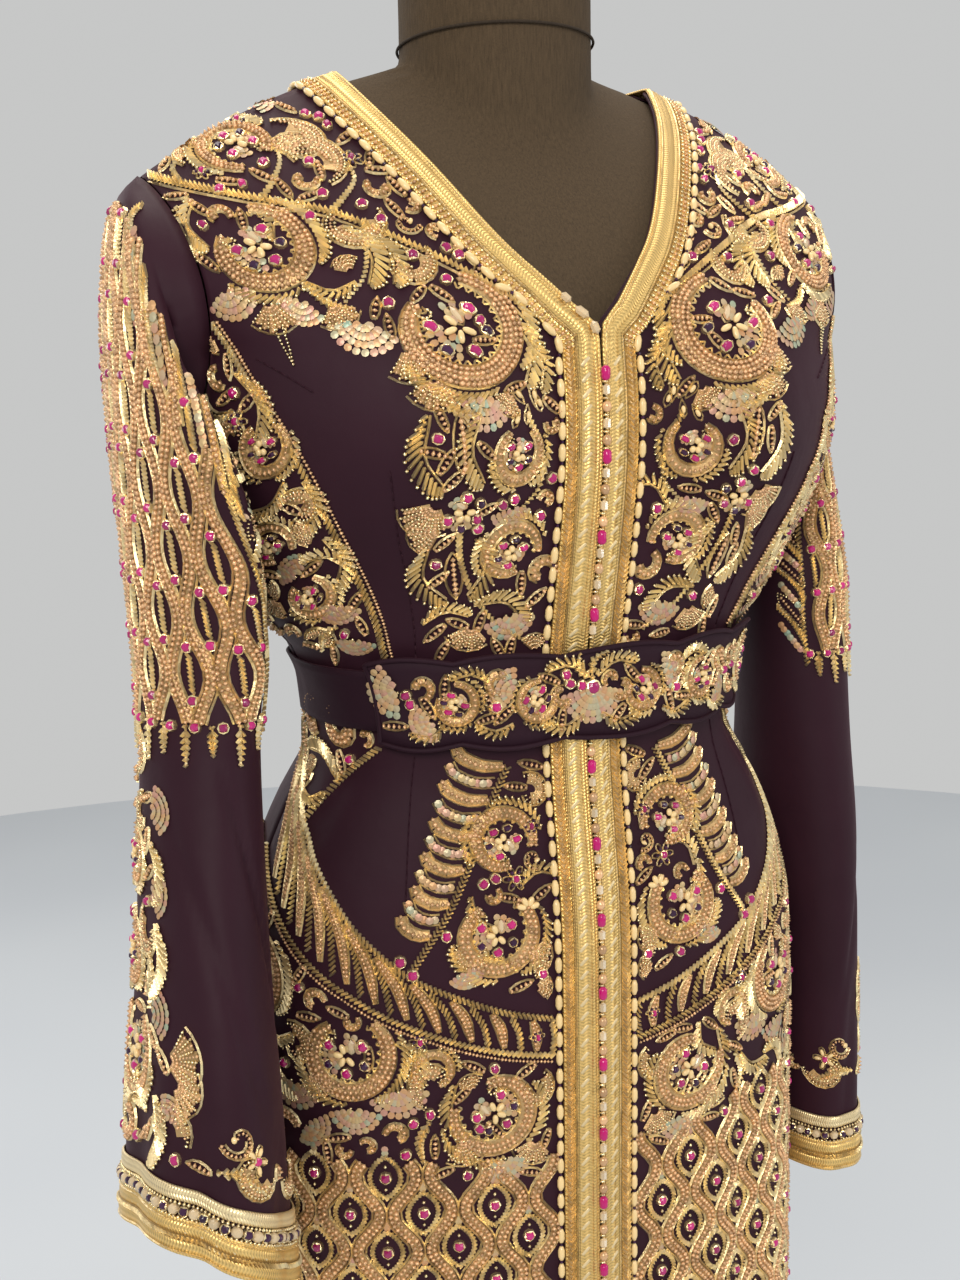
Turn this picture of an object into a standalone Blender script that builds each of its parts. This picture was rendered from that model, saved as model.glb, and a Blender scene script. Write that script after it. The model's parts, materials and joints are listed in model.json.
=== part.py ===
"""A long Moroccan kaftan, belted, on a limbless dress form with a pole and base.

Frame: metres, +Z up, floor at z = 0, the front faces -Y, the wearer's left is +X.
The wall of each cloth piece starts at its inner face, and its thickness is added outwards.
"""

import math

import bmesh
import bpy
import numpy as np

# ---------------------------------------------------------------- driving sizes
CLOTH = 0.0015            # wall of the crepe with its backing
BRAID = 0.0015            # wall of the woven gold braid
SEAM = 0.0003             # gap left at every seam
LAYER = 0.0007            # gap left under a piece that lies on another
HEM = 0.030               # height of the hem above the floor
PIT = 1.185               # height of the bottom of the armhole
CHEST = 1.250             # above this line the panels slope back to the shoulder seam
WAIST = 1.045             # middle of the belt

# Body below the chest line: height, half width, front depth, back depth, squareness.
SECTION_COLUMNS = ("height", "half", "front", "back", "power")
SECTIONS = (
    (0.030, 0.2200, 0.1270, 0.1400, 2.30),
    (0.300, 0.2060, 0.1180, 0.1320, 2.35),
    (0.550, 0.1965, 0.1125, 0.1270, 2.45),
    (0.700, 0.1935, 0.1115, 0.1260, 2.50),
    (0.800, 0.1925, 0.1120, 0.1260, 2.50),
    (0.880, 0.1874, 0.1120, 0.1210, 2.50),
    (0.910, 0.1807, 0.1105, 0.1170, 2.50),
    (0.940, 0.1705, 0.1070, 0.1110, 2.50),
    (0.970, 0.1565, 0.1025, 0.1030, 2.45),
    (1.000, 0.1410, 0.0990, 0.0880, 2.40),
    (1.022, 0.1390, 0.0980, 0.0800, 2.40),
    (1.045, 0.1415, 0.0978, 0.0790, 2.40),
    (1.068, 0.1490, 0.0990, 0.0830, 2.40),
    (1.092, 0.1685, 0.1035, 0.0940, 2.40),
    (1.118, 0.1823, 0.1090, 0.0975, 2.50),
    (1.143, 0.1940, 0.1135, 0.1005, 2.60),
    (1.164, 0.2027, 0.1165, 0.1035, 2.70),
    (1.185, 0.2081, 0.1185, 0.1065, 2.80),
    (1.210, 0.2110, 0.1190, 0.1090, 2.80),
    (1.250, 0.2083, 0.1160, 0.1120, 2.80),
)

# Bust: sideways place, height, reach, and the spread sideways and up.
BUST_X, BUST_Z, BUST_REACH, BUST_WIDE, BUST_TALL = 0.100, 1.200, 0.026, 0.056, 0.062

# Shoulder ridge: height at the middle, first rise per metre, curvature, and its place in depth.
RIDGE_TOP, RIDGE_RISE, RIDGE_CURVE, RIDGE_Y = 1.421, 0.06, 1.75, 0.016
SHOULDER_SPREAD = 0.05    # how much wider the section gets from the chest line to the ridge
FRONT_LEAN = (1.35, 0.85)  # powers of the slope from the chest line back to the ridge
BACK_LEAN = (3.2, 0.47)    # the same for the back, which stays full until high up

# Neckline: share of the way from the chest line up to the ridge, distance from the middle.
NECK_SHARE = (0.0, 0.03, 0.13, 0.335, 0.59, 0.86, 1.0)
NECK_X = (0.0003, 0.0010, 0.016, 0.047, 0.072, 0.095, 0.104)
V_LOW = 0.03              # share where the V of the neck starts
NECK_DROP = 0.17          # drop of the back neckline, as a share of the same way
SHOULDER_EDGE = 0.9975    # share where front and back stop, either side of the shoulder seam

# Armhole above the chest line, in the same shares: its distance out on the front and the back.
ARM_SHARE = (0.0, 0.3, 0.6, 0.85, 1.0)
ARM_FRONT_X = (0.202, 0.205, 0.211, 0.218, 0.2233)
ARM_BACK_X = (0.190, 0.191, 0.198, 0.210, 0.2233)

# Soft flutes of the skirt, growing from this height to the hem.
FLUTE_TOP, FLUTE_DEPTH, FLUTE_COUNT = 0.62, 0.006, 9
FLUTE_GROWTH = 1.5        # power of their growth downwards
FLUTE_FLAT, FLUTE_UNEVEN = 0.5, 0.6   # radians kept flat at the front, unevenness of spacing

# Sleeves, from the armhole down: outer x and z, inner x and z, middle y, half depth, how far
# the front is drawn in over the body, and how far it rises above the middle.
SLEEVE_COLUMNS = ("outer_x", "outer_z", "inner_x", "inner_z", "middle_y", "half_y", "tuck",
                  "rise")
SLEEVE_RIGHT = (
    (0.2370, 1.335, 0.2135, 1.184, 0.010, 0.060, 0.000, 0.000),
    (0.2460, 1.298, 0.2140, 1.178, 0.000, 0.068, 0.006, 0.000),
    (0.2500, 1.250, 0.2130, 1.168, -0.012, 0.080, 0.018, 0.000),
    (0.2505, 1.195, 0.2085, 1.148, -0.022, 0.084, 0.024, 0.000),
    (0.2500, 1.140, 0.1960, 1.118, -0.026, 0.073, 0.022, 0.000),
    (0.2500, 1.085, 0.1865, 1.080, -0.033, 0.058, 0.013, 0.000),
    (0.2530, 1.030, 0.1900, 1.030, -0.046, 0.050, 0.004, 0.000),
    (0.2590, 0.980, 0.1940, 0.980, -0.060, 0.056, 0.000, 0.000),
    (0.2680, 0.905, 0.1985, 0.888, -0.077, 0.070, 0.000, 0.007),
    (0.2775, 0.842, 0.1985, 0.806, -0.087, 0.076, 0.000, 0.017),
    (0.2865, 0.767, 0.1975, 0.711, -0.093, 0.079, 0.000, 0.027),
)
SLEEVE_LEFT = (
    (0.2270, 1.335, 0.2130, 1.184, 0.018, 0.048, 0.000, 0.000),
    (0.2280, 1.298, 0.2135, 1.178, 0.024, 0.045, 0.000, 0.000),
    (0.2300, 1.250, 0.2130, 1.168, 0.027, 0.044, 0.000, 0.000),
    (0.2360, 1.195, 0.2080, 1.148, 0.025, 0.045, 0.000, 0.000),
    (0.2470, 1.140, 0.1930, 1.118, 0.020, 0.047, 0.000, 0.000),
    (0.2560, 1.085, 0.1840, 1.080, 0.015, 0.047, 0.000, 0.000),
    (0.2585, 1.030, 0.1890, 1.030, 0.012, 0.045, 0.000, 0.000),
    (0.2610, 0.980, 0.1930, 0.980, 0.014, 0.050, 0.000, 0.000),
    (0.2665, 0.900, 0.1985, 0.900, 0.020, 0.063, 0.000, 0.000),
    (0.2680, 0.800, 0.2005, 0.800, 0.026, 0.075, 0.000, 0.000),
    (0.2690, 0.650, 0.2010, 0.650, 0.030, 0.084, 0.000, 0.000),
)
SLEEVE_START, SLEEVE_UNDER = 0.0018, 0.0018   # step out from the armhole, more under the arm
CUFF_TALL = 0.030

# Braid at the neck and down the front, belt, buttons.
BAND_WIDE = 0.0225
NECK_LIFT = 0.0008        # extra room under the neck braid, where it bends over the shoulder
BAND_RISE = 0.004         # how far the braids' meeting edges stand up from the panel
NECK_BAND_LOW = 0.0078    # how far the mitre at the bottom of the V drops to its outer corner
BELT_WRAP_TALL, BELT_WRAP_WALL = 0.038, 0.0020
BELT_PANEL_TALL, BELT_PANEL_WALL = 0.058, 0.0030
BELT_PANEL_FROM, BELT_PANEL_TO = -52.0, 66.0  # degrees round from the middle of the front
BELT_SCALLOPS, BELT_SCALLOP_DEPTH = 5, 0.004
BELT_BRIDGE = 0.085       # distance from the middle where the belt comes down to the cloth
BUTTON_PITCH, BUTTON_TOP, BUTTON_LOW = 0.0465, 1.232, 0.06
BUTTON_HALF_WIDE, BUTTON_HALF_DEEP, BUTTON_HALF_TALL = 0.0036, 0.0029, 0.0046
BUTTON_CLEAR = 0.008      # kept free above and below the belt

# Dress form and stand.
FORM_CLEAR = 0.0020       # between the form and the cloth's inner face
FORM_LOW, FORM_TOP = 0.880, 1.468
NECK_RADIUS, NECK_Y = 0.0598, 0.016
NECK_BLEND = 8            # how sharply the shoulders turn into the neck and the arm ends
NECK_START = 1.30         # the neck's circle is blended in above this height
NECK_MIDDLE_Z = 1.40      # a point inside the neck opening
FORM_INSET = 0.0034       # how far the form's rings stand inside the cloth's inner face
FORM_SLACK, SHOULDER_LOW = 0.0035, 1.33   # more room below the shoulders, where nothing rests
SLACK_SPREAD = 0.06       # height over which that room opens
ARM_END = 0.196           # where the form's shoulders end
CAP_TALL, CAP_RADIUS, CAP_ROUND = 0.018, 0.058, 0.010
POLE_RADIUS, BASE_RADIUS, BASE_TALL, BASE_ROUND = 0.0160, 0.170, 0.010, 0.004
COLLAR_RADIUS, COLLAR_TALL = 0.030, 0.030

COLLECTION = "moroccan_kaftan"


# ---------------------------------------------------------------- small helpers
def smooth(xs, ys, x):
    """Cubic curve through the table's points, without overshoot between them."""
    xs = np.asarray(xs, float)
    ys = np.asarray(ys, float)
    x = np.clip(np.asarray(x, float), xs[0], xs[-1])
    step = np.diff(xs)
    slope = np.diff(ys) / step
    inner = np.where(slope[:-1] * slope[1:] > 0,
                     2 * slope[:-1] * slope[1:] / (slope[:-1] + slope[1:] + 1e-30), 0.0)
    tangent = np.concatenate([[slope[0]], inner, [slope[-1]]])
    i = np.clip(np.searchsorted(xs, x, side="right") - 1, 0, len(xs) - 2)
    t = (x - xs[i]) / step[i]
    return ((2 * t**3 - 3 * t**2 + 1) * ys[i] + (t**3 - 2 * t**2 + t) * step[i] * tangent[i]
            + (3 * t**2 - 2 * t**3) * ys[i + 1] + (t**3 - t**2) * step[i] * tangent[i + 1])


def column(table, names, name, x, at):
    """One named column of a table, read at x along the column called at."""
    keys = [row[names.index(at)] for row in table]
    values = [row[names.index(name)] for row in table]
    return float(smooth(keys, values, x))


def section(z):
    """The body's named sizes at height z."""
    return {name: column(SECTIONS, SECTION_COLUMNS, name, z, "height") for name in SECTION_COLUMNS}


# ---------------------------------------------------------------- body surface
def bust(x, z):
    """How far the bust stands in front of the plain section."""
    across = (math.exp(-((x - BUST_X) / BUST_WIDE) ** 2)
              + math.exp(-((x + BUST_X) / BUST_WIDE) ** 2))
    return BUST_REACH * across * math.exp(-((z - BUST_Z) / BUST_TALL) ** 2)


def flute(angle, z):
    """Soft outward wave of the skirt, nothing at the middle of the front."""
    if z >= FLUTE_TOP:
        return 0.0
    growth = ((FLUTE_TOP - z) / (FLUTE_TOP - HEM)) ** FLUTE_GROWTH
    keep_flat = 1 - math.exp(-(angle / FLUTE_FLAT) ** 2)
    wave = math.cos(FLUTE_COUNT * angle + FLUTE_UNEVEN * math.sin(2 * angle))
    return FLUTE_DEPTH * growth * keep_flat * wave


def ring_point(angle, z, folds=True):
    """Inner face of the body at this height; angle 0 is the front, +90 degrees is +X."""
    size = section(z)
    power = 2 / size["power"]
    x = size["half"] * math.copysign(abs(math.sin(angle)) ** power, math.sin(angle))
    depth = abs(math.cos(angle)) ** power
    y = -size["front"] * depth if math.cos(angle) > 0 else size["back"] * depth
    if math.cos(angle) > 0:
        y -= bust(x, z) * min(1.0, 3 * depth)
    wave = flute(angle, z) if folds else 0.0
    return np.array((x + wave * math.sin(angle), y - wave * math.cos(angle), z))


def ridge(x):
    """Height of the shoulder seam."""
    return RIDGE_TOP + RIDGE_RISE * abs(x) - RIDGE_CURVE * x * x


def chest_depth(x, back, share_up):
    """Depth of the section that a column starts from, wider towards the shoulder."""
    size = section(CHEST)
    share = min(abs(x) / (size["half"] + SHOULDER_SPREAD * share_up), 1.0)
    round_off = (1 - share ** size["power"]) ** (1 / size["power"])
    return size["back"] * round_off if back else -size["front"] * round_off


def chest_point(x, way):
    """Inner face above the chest line: way 0 to 1 climbs the front, 1 to 2 goes down the back."""
    back = way > 1
    share = 2 - way if back else way
    z = CHEST + share * (ridge(x) - CHEST)
    if back:
        fall = (1 - share ** BACK_LEAN[0]) ** BACK_LEAN[1]
        y = RIDGE_Y + (chest_depth(x, True, share) - RIDGE_Y) * fall
    else:
        fall = (1 - share ** FRONT_LEAN[0]) ** FRONT_LEAN[1]
        y = RIDGE_Y + (chest_depth(x, False, share) - RIDGE_Y) * fall
        y -= bust(x, z) * (1 - share ** 2)
    return np.array((x, y, z))


def arm_x(share, back):
    """Distance of the armhole from the middle, by share of the way up to the ridge."""
    return float(smooth(ARM_SHARE, ARM_BACK_X if back else ARM_FRONT_X, share))


def arm_angle(z, back):
    """Angle from the middle of the front or back to the armhole or the side seam."""
    if z <= PIT:
        return math.pi / 2
    size = section(z)
    top = section(CHEST)
    share = (z - PIT) / (CHEST - PIT)
    widest = (1 - (arm_x(0, back) / top["half"]) ** top["power"]) ** (1 / top["power"])
    depth = widest * math.sqrt(1 - (1 - share) ** 2)
    return math.acos(depth ** (size["power"] / 2))


def front_angle(x, z):
    """The ring angle of a point this far from the middle of the front."""
    size = section(z)
    return math.asin(min(1.0, abs(x) / size["half"]) ** (size["power"] / 2))


# ---------------------------------------------------------------- panels
def even(points, count):
    """The same line with its points spread evenly along it; columns after the third follow."""
    points = np.asarray(points, float)
    steps = np.linalg.norm(np.diff(points[:, :3], axis=0), axis=1)
    run = np.concatenate([[0], np.cumsum(steps)])
    places = np.linspace(0, run[-1], count)
    return np.stack([np.interp(places, run, points[:, i]) for i in range(points.shape[1])], axis=1)


def body_rows():
    """Heights of the rows up to the chest line, closer together at the waist."""
    skirt = np.linspace(HEM, 0.90, 10)
    waist = (0.930, 0.955, 0.980, 1.000, 1.018)
    bodice = np.linspace(WAIST, PIT, 8)
    armhole_rows = np.linspace(PIT, CHEST, 4)[1:]
    return np.concatenate([skirt, waist, bodice, armhole_rows])


def ring_line(start, end, z, count):
    """Evenly spread points of the body ring between two angles."""
    return even([ring_point(a, z) for a in np.linspace(start, end, 60)], count)


def side_end(z, back):
    """Angle where a panel ends at its side, short of the side seam by half the gap."""
    seam_angle = SEAM / section(z)["half"]
    return arm_angle(z, back) - (seam_angle if z <= PIT else 0.0)


def front_grid(side, columns=11, rows_above=8):
    """Points of one front panel, row by row upwards; side is -1 on the wearer's right."""
    grid = []
    for z in body_rows():
        braid_edge = front_angle(BAND_WIDE + SEAM, z)
        first = ring_point(front_angle(SEAM, z), z)
        rest = ring_line(braid_edge, side_end(z, False), z, columns - 1)
        grid.append([first, *rest])
    reach = grid[-1][-1][0] - NECK_X[0]
    shares = [(p[0] - NECK_X[0]) / reach for p in grid[-1]]
    for way in np.linspace(0, 1, rows_above + 1)[1:]:
        inner = float(smooth(NECK_SHARE, NECK_X, way))
        outer = arm_x(way, False)
        level = min(way, SHOULDER_EDGE)
        grid.append([chest_point(inner + (outer - inner) * s, level) for s in shares])
    grid = np.array(grid)
    if side > 0:
        return grid
    return grid[:, ::-1] * (-1, 1, 1)


def back_grid(columns=19, rows_above=9):
    """Points of the back panel, row by row upwards, from the wearer's left to the right."""
    grid = []
    for z in body_rows():
        end = side_end(z, True)
        grid.append(ring_line(math.pi - end, math.pi + end, z, columns))
    widest = grid[-1][0][0]
    sides = [p[0] / widest for p in grid[-1]]
    for share in 1 - (1 - np.linspace(0, 1, rows_above + 1)[1:]) ** 1.8:
        outer = arm_x(share, True)
        row = []
        for side in sides:
            x = side * outer
            neck = max(0.0, 1 - (x / NECK_X[-1]) ** 2)
            way = min(share, SHOULDER_EDGE) * (1 - NECK_DROP * neck)
            row.append(chest_point(x, 2 - way))
        grid.append(row)
    return np.array(grid)


# ---------------------------------------------------------------- sleeves
def armhole(side, count):
    """Loop of the armhole, from the shoulder tip down the front and up the back."""
    halves = []
    for back in (False, True):
        edge = []
        for share in np.linspace(1, 0, 24):
            x = side * arm_x(share, back)
            edge.append(chest_point(x, 2 - share if back else share))
        for z in np.linspace(CHEST, PIT, 24)[1:]:
            angle = arm_angle(z, back)
            edge.append(ring_point(side * (math.pi - angle if back else angle), z))
        halves.append(even(edge, count // 2 + 1))
    return np.concatenate([halves[0][:-1], halves[1][::-1][:-1]])


def sleeve_ring(side, row, count):
    """One ring of a sleeve from its row of the table; its front is drawn in over the body."""
    sizes = dict(zip(SLEEVE_COLUMNS, row))
    outer = np.array((sizes["outer_x"] * side, sizes["middle_y"], sizes["outer_z"]))
    inner = np.array((sizes["inner_x"] * side, sizes["middle_y"], sizes["inner_z"]))
    middle = (outer + inner) / 2
    deep = np.array((0, -sizes["half_y"], sizes["rise"]))
    points = []
    for i in range(count):
        turn = 2 * math.pi * i / count
        drawn_in = sizes["tuck"] * max(math.sin(turn), 0) ** 2
        points.append(middle + (outer - inner) / 2 * math.cos(turn)
                      + np.array((-side * drawn_in, 0, 0)) + deep * math.sin(turn))
    return np.array(points)


def sleeve_grid(side, table, count=18):
    """Rings of a sleeve, from the armhole to the cuff."""
    start = armhole(side, count)
    under = np.array([(1 - math.cos(2 * math.pi * i / count)) / 2 for i in range(count)])
    start[:, 0] += side * (SLEEVE_START + SLEEVE_UNDER * under ** 4)
    rings = [start]
    for row in table:
        rings.append(sleeve_ring(side, row, count))
    return rings


# ---------------------------------------------------------------- meshes
def material(name, colour, roughness, metallic=0.0):
    """A plain Principled material."""
    made = bpy.data.materials.new(name)
    made.use_nodes = True
    shader = made.node_tree.nodes["Principled BSDF"]
    shader.inputs["Base Color"].default_value = (*colour, 1)
    shader.inputs["Roughness"].default_value = roughness
    shader.inputs["Metallic"].default_value = metallic
    return made


def place(name, mesh, finish):
    """A named object in the part's collection."""
    mesh.materials.append(finish)
    mesh.shade_smooth()
    thing = bpy.data.objects.new(name, mesh)
    bpy.data.collections[COLLECTION].objects.link(thing)
    return thing


def grid_mesh(name, grid, closed=False, flip=False, caps=False):
    """A mesh over rows of points; closed joins each row's end to its start."""
    rows, columns = len(grid), len(grid[0])
    points = [tuple(p) for row in grid for p in row]
    faces = []
    for r in range(rows - 1):
        for c in range(columns if closed else columns - 1):
            d = (c + 1) % columns
            face = (r * columns + c, r * columns + d, (r + 1) * columns + d, (r + 1) * columns + c)
            faces.append(face[::-1] if flip else face)
    if caps:
        low = tuple(range(columns))
        high = tuple(range((rows - 1) * columns, rows * columns))
        faces += [low[::-1], high] if not flip else [low, high[::-1]]
    mesh = bpy.data.meshes.new(name)
    mesh.from_pydata(points, [], faces)
    mesh.update()
    return mesh


def cloth(name, grid, wall, finish, closed=False, flip=False):
    """An open surface given its wall outwards."""
    thing = place(name, grid_mesh(name, grid, closed, flip), finish)
    solid = thing.modifiers.new("wall", "SOLIDIFY")
    solid.thickness = wall
    solid.offset = 1
    solid.use_quality_normals = True
    return thing


def moved_out(grid, distance, closed=False, flip=False):
    """The same grid moved along its own outward direction."""
    grid = np.array(grid, float)
    if closed:
        across = np.roll(grid, -1, axis=1) - np.roll(grid, 1, axis=1)
    else:
        across = np.gradient(grid, axis=1)
    up = np.gradient(grid, axis=0)
    out = np.cross(across, up)
    out /= np.linalg.norm(out, axis=2, keepdims=True)
    reach = np.asarray(distance, float) * (-1 if flip else 1)
    return grid + out * (reach[..., None] if reach.ndim else reach)


# ---------------------------------------------------------------- trims
def front_face(x, z):
    """Inner face of a front panel below the chest line, by distance from the middle."""
    return ring_point(math.copysign(front_angle(x, z), x), z)


def neck_path(front_rows, back_rows):
    """Places round the neck edge: up the V to the shoulder seam, then to the middle of the back."""
    places = [(float(smooth(NECK_SHARE, NECK_X, way)), way) for way in np.linspace(V_LOW, 1, 40)]
    front = even([(*chest_point(x, way), x, way) for x, way in places], front_rows)
    places = [(x, 1 + NECK_DROP * (1 - (x / NECK_X[-1]) ** 2))
              for x in np.linspace(NECK_X[-1], SEAM, 24)]
    back = even([(*chest_point(x, way), x, way) for x, way in places], back_rows)
    return [(float(p[3]), float(p[4])) for p in (*front, *back[1:])]


def tangents(x, way):
    """Directions of the chest surface along x and along its way up."""
    small = 1e-4
    here = chest_point(x, way)
    return np.stack([(chest_point(x + small, way) - here) / small,
                     (chest_point(x, way + small) - here) / small], axis=1)


def walk(x, way, heading, distance, steps=4):
    """Follow the chest surface from a place, in a heading, for a distance."""
    for _ in range(steps):
        move = np.linalg.lstsq(tangents(x, way), heading * distance / steps, rcond=None)[0]
        x += float(move[0])
        way += float(move[1])
    return chest_point(x, way)


def neck_band_grid(side, columns=4):
    """Braid round one half of the neck, mitred at the bottom of the V."""
    path = neck_path(14, 10)
    points = np.array([chest_point(x, way) for x, way in path])
    along = np.gradient(points, axis=0)
    across = np.linspace(0, BAND_WIDE, columns)
    low_z = points[0][2]
    grid = [[front_face(max(w, SEAM), low_z - NECK_BAND_LOW * w / BAND_WIDE) for w in across]]
    for (x, way), point, run in zip(path[1:], points[1:], along[1:]):
        frame = tangents(x, way)
        heading = np.cross(np.cross(frame[:, 0], frame[:, 1]), run)
        heading *= np.sign(heading @ (point - np.array((0, 0, NECK_MIDDLE_Z))))
        heading /= np.linalg.norm(heading)
        grid.append([walk(x, way, heading, w) for w in across])
    grid = np.array(grid)
    if side > 0:
        return grid
    return grid[:, ::-1] * (-1, 1, 1)


def front_band_grid(side, columns=3):
    """Braid down one edge of the front, under the mitre at the bottom of the V."""
    low_z = CHEST + V_LOW * (ridge(0) - CHEST) - SEAM
    rows = [z for z in body_rows() if z < low_z - 2 * NECK_BAND_LOW]
    across = np.linspace(SEAM, BAND_WIDE, columns)
    grid = [[front_face(x, z) for x in across] for z in rows]
    grid.append([front_face(x, low_z - NECK_BAND_LOW * x / BAND_WIDE) for x in across])
    grid = np.array(grid)
    grid[:, :, 1] -= BAND_RISE * (1 - across / BAND_WIDE)
    if side > 0:
        return grid
    return grid[:, ::-1] * (-1, 1, 1)


def cuff_grid(rings):
    """Braid round the last stretch of a sleeve, on its flat facets."""
    last, before = np.array(rings[-1]), np.array(rings[-2])
    share = CUFF_TALL / abs(before[0][2] - last[0][2])
    return np.array([last + (before - last) * share, last])


def belt_grid(start, end, low, high, columns, rows=3, scallop=0.0):
    """A stretch of the belt on the body's ring, with a scalloped edge if asked."""
    angles = np.radians(np.linspace(start, end, columns))
    grid = []
    for share in np.linspace(-1, 1, rows):
        row = []
        for i, angle in enumerate(angles):
            wave = abs(math.sin(math.pi * BELT_SCALLOPS * i / (columns - 1)))
            half = (high - low) / 2 - scallop * (1 - wave)
            row.append(ring_point(angle, (low + high) / 2 + share * half))
        grid.append(row)
    return np.array(grid)


def belt_lift(grid):
    """How far out the belt lies: over the braids in front, on the cloth at the sides."""
    over = 1 / (1 + (np.abs(grid[..., 0]) / BELT_BRIDGE) ** 4)
    over[grid[..., 1] > 0] = 0
    return CLOTH + 2 * LAYER + (BAND_RISE + BRAID) * over


# ---------------------------------------------------------------- dress form
def slice_line(z, count=60):
    """Right half of the body at this height, from the middle of the front to the back."""
    if z <= CHEST:
        line = [ring_point(a, z, folds=False) for a in np.linspace(0, math.pi, count)]
        return [(min(p[0], ARM_END), p[1], p[2]) for p in line]
    below = max(RIDGE_TOP - z, 0)
    ridge_x = (RIDGE_RISE + math.sqrt(RIDGE_RISE ** 2 + 4 * RIDGE_CURVE * below)) / 2 / RIDGE_CURVE
    reach = max(min(ridge_x, ARM_END), 1e-4)
    line = []
    for back in (False, True):
        half = []
        for turn in np.linspace(0, math.pi / 2, count // 2):
            x = reach * math.sin(turn)
            share = min((z - CHEST) / max(ridge(x) - CHEST, 1e-6), 1.0)
            point = chest_point(x, 2 - share if back else share)
            round_off = (1 - (x / reach) ** NECK_BLEND) ** (1 / NECK_BLEND)
            half.append((x, RIDGE_Y + (point[1] - RIDGE_Y) * round_off, z))
        line += half if not back else half[::-1][1:]
    return line


def form_ring(z, count=40):
    """One ring of the dress form, inside the cloth, blended into the neck."""
    line = np.array(slice_line(z + FORM_CLEAR))
    bearing = np.arctan2(line[:, 0], NECK_Y - line[:, 1])
    slack = FORM_SLACK * min(max((SHOULDER_LOW - z) / SLACK_SPREAD, 0.0), 1.0)
    reach = np.hypot(line[:, 0], line[:, 1] - NECK_Y) - FORM_INSET - slack
    ring = []
    for i in range(count):
        angle = 2 * math.pi * i / count
        turn = angle if angle <= math.pi else 2 * math.pi - angle
        torso = max(float(np.interp(turn, bearing, reach)), 0.0)
        radius = (torso ** NECK_BLEND + NECK_RADIUS ** NECK_BLEND) ** (1 / NECK_BLEND)
        if z < NECK_START:
            radius = torso
        ring.append((radius * math.sin(angle), NECK_Y - radius * math.cos(angle), z))
    return np.array(ring)


def form_rings():
    """Rings of the form from its flat underside to the top of the neck."""
    torso = np.linspace(FORM_LOW, CHEST, 15)
    chest = np.linspace(CHEST, SHOULDER_LOW, 6)[1:]
    shoulder = np.linspace(SHOULDER_LOW, RIDGE_TOP, 19)[1:]
    neck = np.linspace(RIDGE_TOP, FORM_TOP, 4)[1:]
    return [form_ring(z) for z in np.concatenate([torso, chest, shoulder, neck])]


# ---------------------------------------------------------------- turned pieces
def rounded(radius, high, corner, count):
    """Profile points of a rounded upper edge, from the top face down to the side."""
    turns = np.linspace(0, math.pi / 2, count)
    return [(radius - corner * (1 - math.sin(turn)), high - corner * (1 - math.cos(turn)))
            for turn in turns]


def turned(name, profile, finish, steps=40):
    """A turned solid from a profile that runs down its outer side."""
    mesh = bpy.data.meshes.new(name)
    closed = profile[0] == profile[-1]
    if closed:
        profile = profile[:-1]
    edges = [(i, i + 1) for i in range(len(profile) - 1)]
    if closed:
        edges.append((len(profile) - 1, 0))
    mesh.from_pydata([(r, 0, z) for r, z in profile], edges, [])
    thing = place(name, mesh, finish)
    screw = thing.modifiers.new("turn", "SCREW")
    screw.steps = screw.render_steps = steps
    screw.use_merge_vertices = True
    screw.merge_threshold = 0.00005
    screw.use_smooth_shade = True
    return thing


def button(name, z, finish):
    """One oblong button on the meeting edges of the braid."""
    mesh = bpy.data.meshes.new(name)
    shape = bmesh.new()
    bmesh.ops.create_uvsphere(shape, u_segments=8, v_segments=5, radius=1)
    scale = (BUTTON_HALF_WIDE, BUTTON_HALF_DEEP, BUTTON_HALF_TALL)
    bmesh.ops.scale(shape, vec=scale, verts=shape.verts)
    shape.to_mesh(mesh)
    shape.free()
    thing = place(name, mesh, finish)
    rows = body_rows()
    seat = np.interp(z, rows, [front_face(SEAM, row)[1] for row in rows]) - BAND_RISE
    thing.location = (0, seat - (CLOTH + LAYER + BRAID + SEAM + scale[1]), z)
    return thing


def button_heights():
    """Heights of the buttons, leaving out those under the belt."""
    covered = BELT_PANEL_TALL / 2 + BUTTON_CLEAR
    heights = np.arange(BUTTON_TOP, BUTTON_LOW, -BUTTON_PITCH)
    return [float(z) for z in heights if abs(z - WAIST) > covered]


# ---------------------------------------------------------------- the whole part
def build_cloth(finishes):
    """Panels, sleeves, braids and belt."""
    lift = CLOTH + LAYER
    for side, word in ((-1, "right"), (1, "left")):
        cloth("front_" + word, front_grid(side), CLOTH, finishes["crepe"])
        band = moved_out(neck_band_grid(side), lift + NECK_LIFT)
        cloth("neck_band_" + word, band, BRAID, finishes["braid"])
        band = moved_out(front_band_grid(side), lift)
        cloth("front_band_" + word, band, BRAID, finishes["braid"])
        rings = sleeve_grid(side, SLEEVE_RIGHT if side < 0 else SLEEVE_LEFT)
        cloth("sleeve_" + word, rings, CLOTH, finishes["crepe"], closed=True, flip=side < 0)
        braid = moved_out(cuff_grid(rings), lift, closed=True, flip=side < 0)
        cloth("cuff_braid_" + word, braid, BRAID, finishes["braid"], closed=True, flip=side < 0)
    cloth("back", back_grid(), CLOTH, finishes["crepe"])
    half = BELT_WRAP_TALL / 2
    wrap = belt_grid(0, 360, WAIST - half, WAIST + half, 45)[:, :-1]
    wrap = moved_out(wrap, belt_lift(wrap), closed=True)
    cloth("belt_wrap", wrap, BELT_WRAP_WALL, finishes["crepe"], closed=True)
    half = BELT_PANEL_TALL / 2
    panel = belt_grid(BELT_PANEL_FROM, BELT_PANEL_TO, WAIST - half, WAIST + half, 31,
                      scallop=BELT_SCALLOP_DEPTH)
    panel = moved_out(panel, belt_lift(panel) + BELT_WRAP_WALL + LAYER)
    cloth("belt_panel", panel, BELT_PANEL_WALL, finishes["velvet"])


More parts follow.
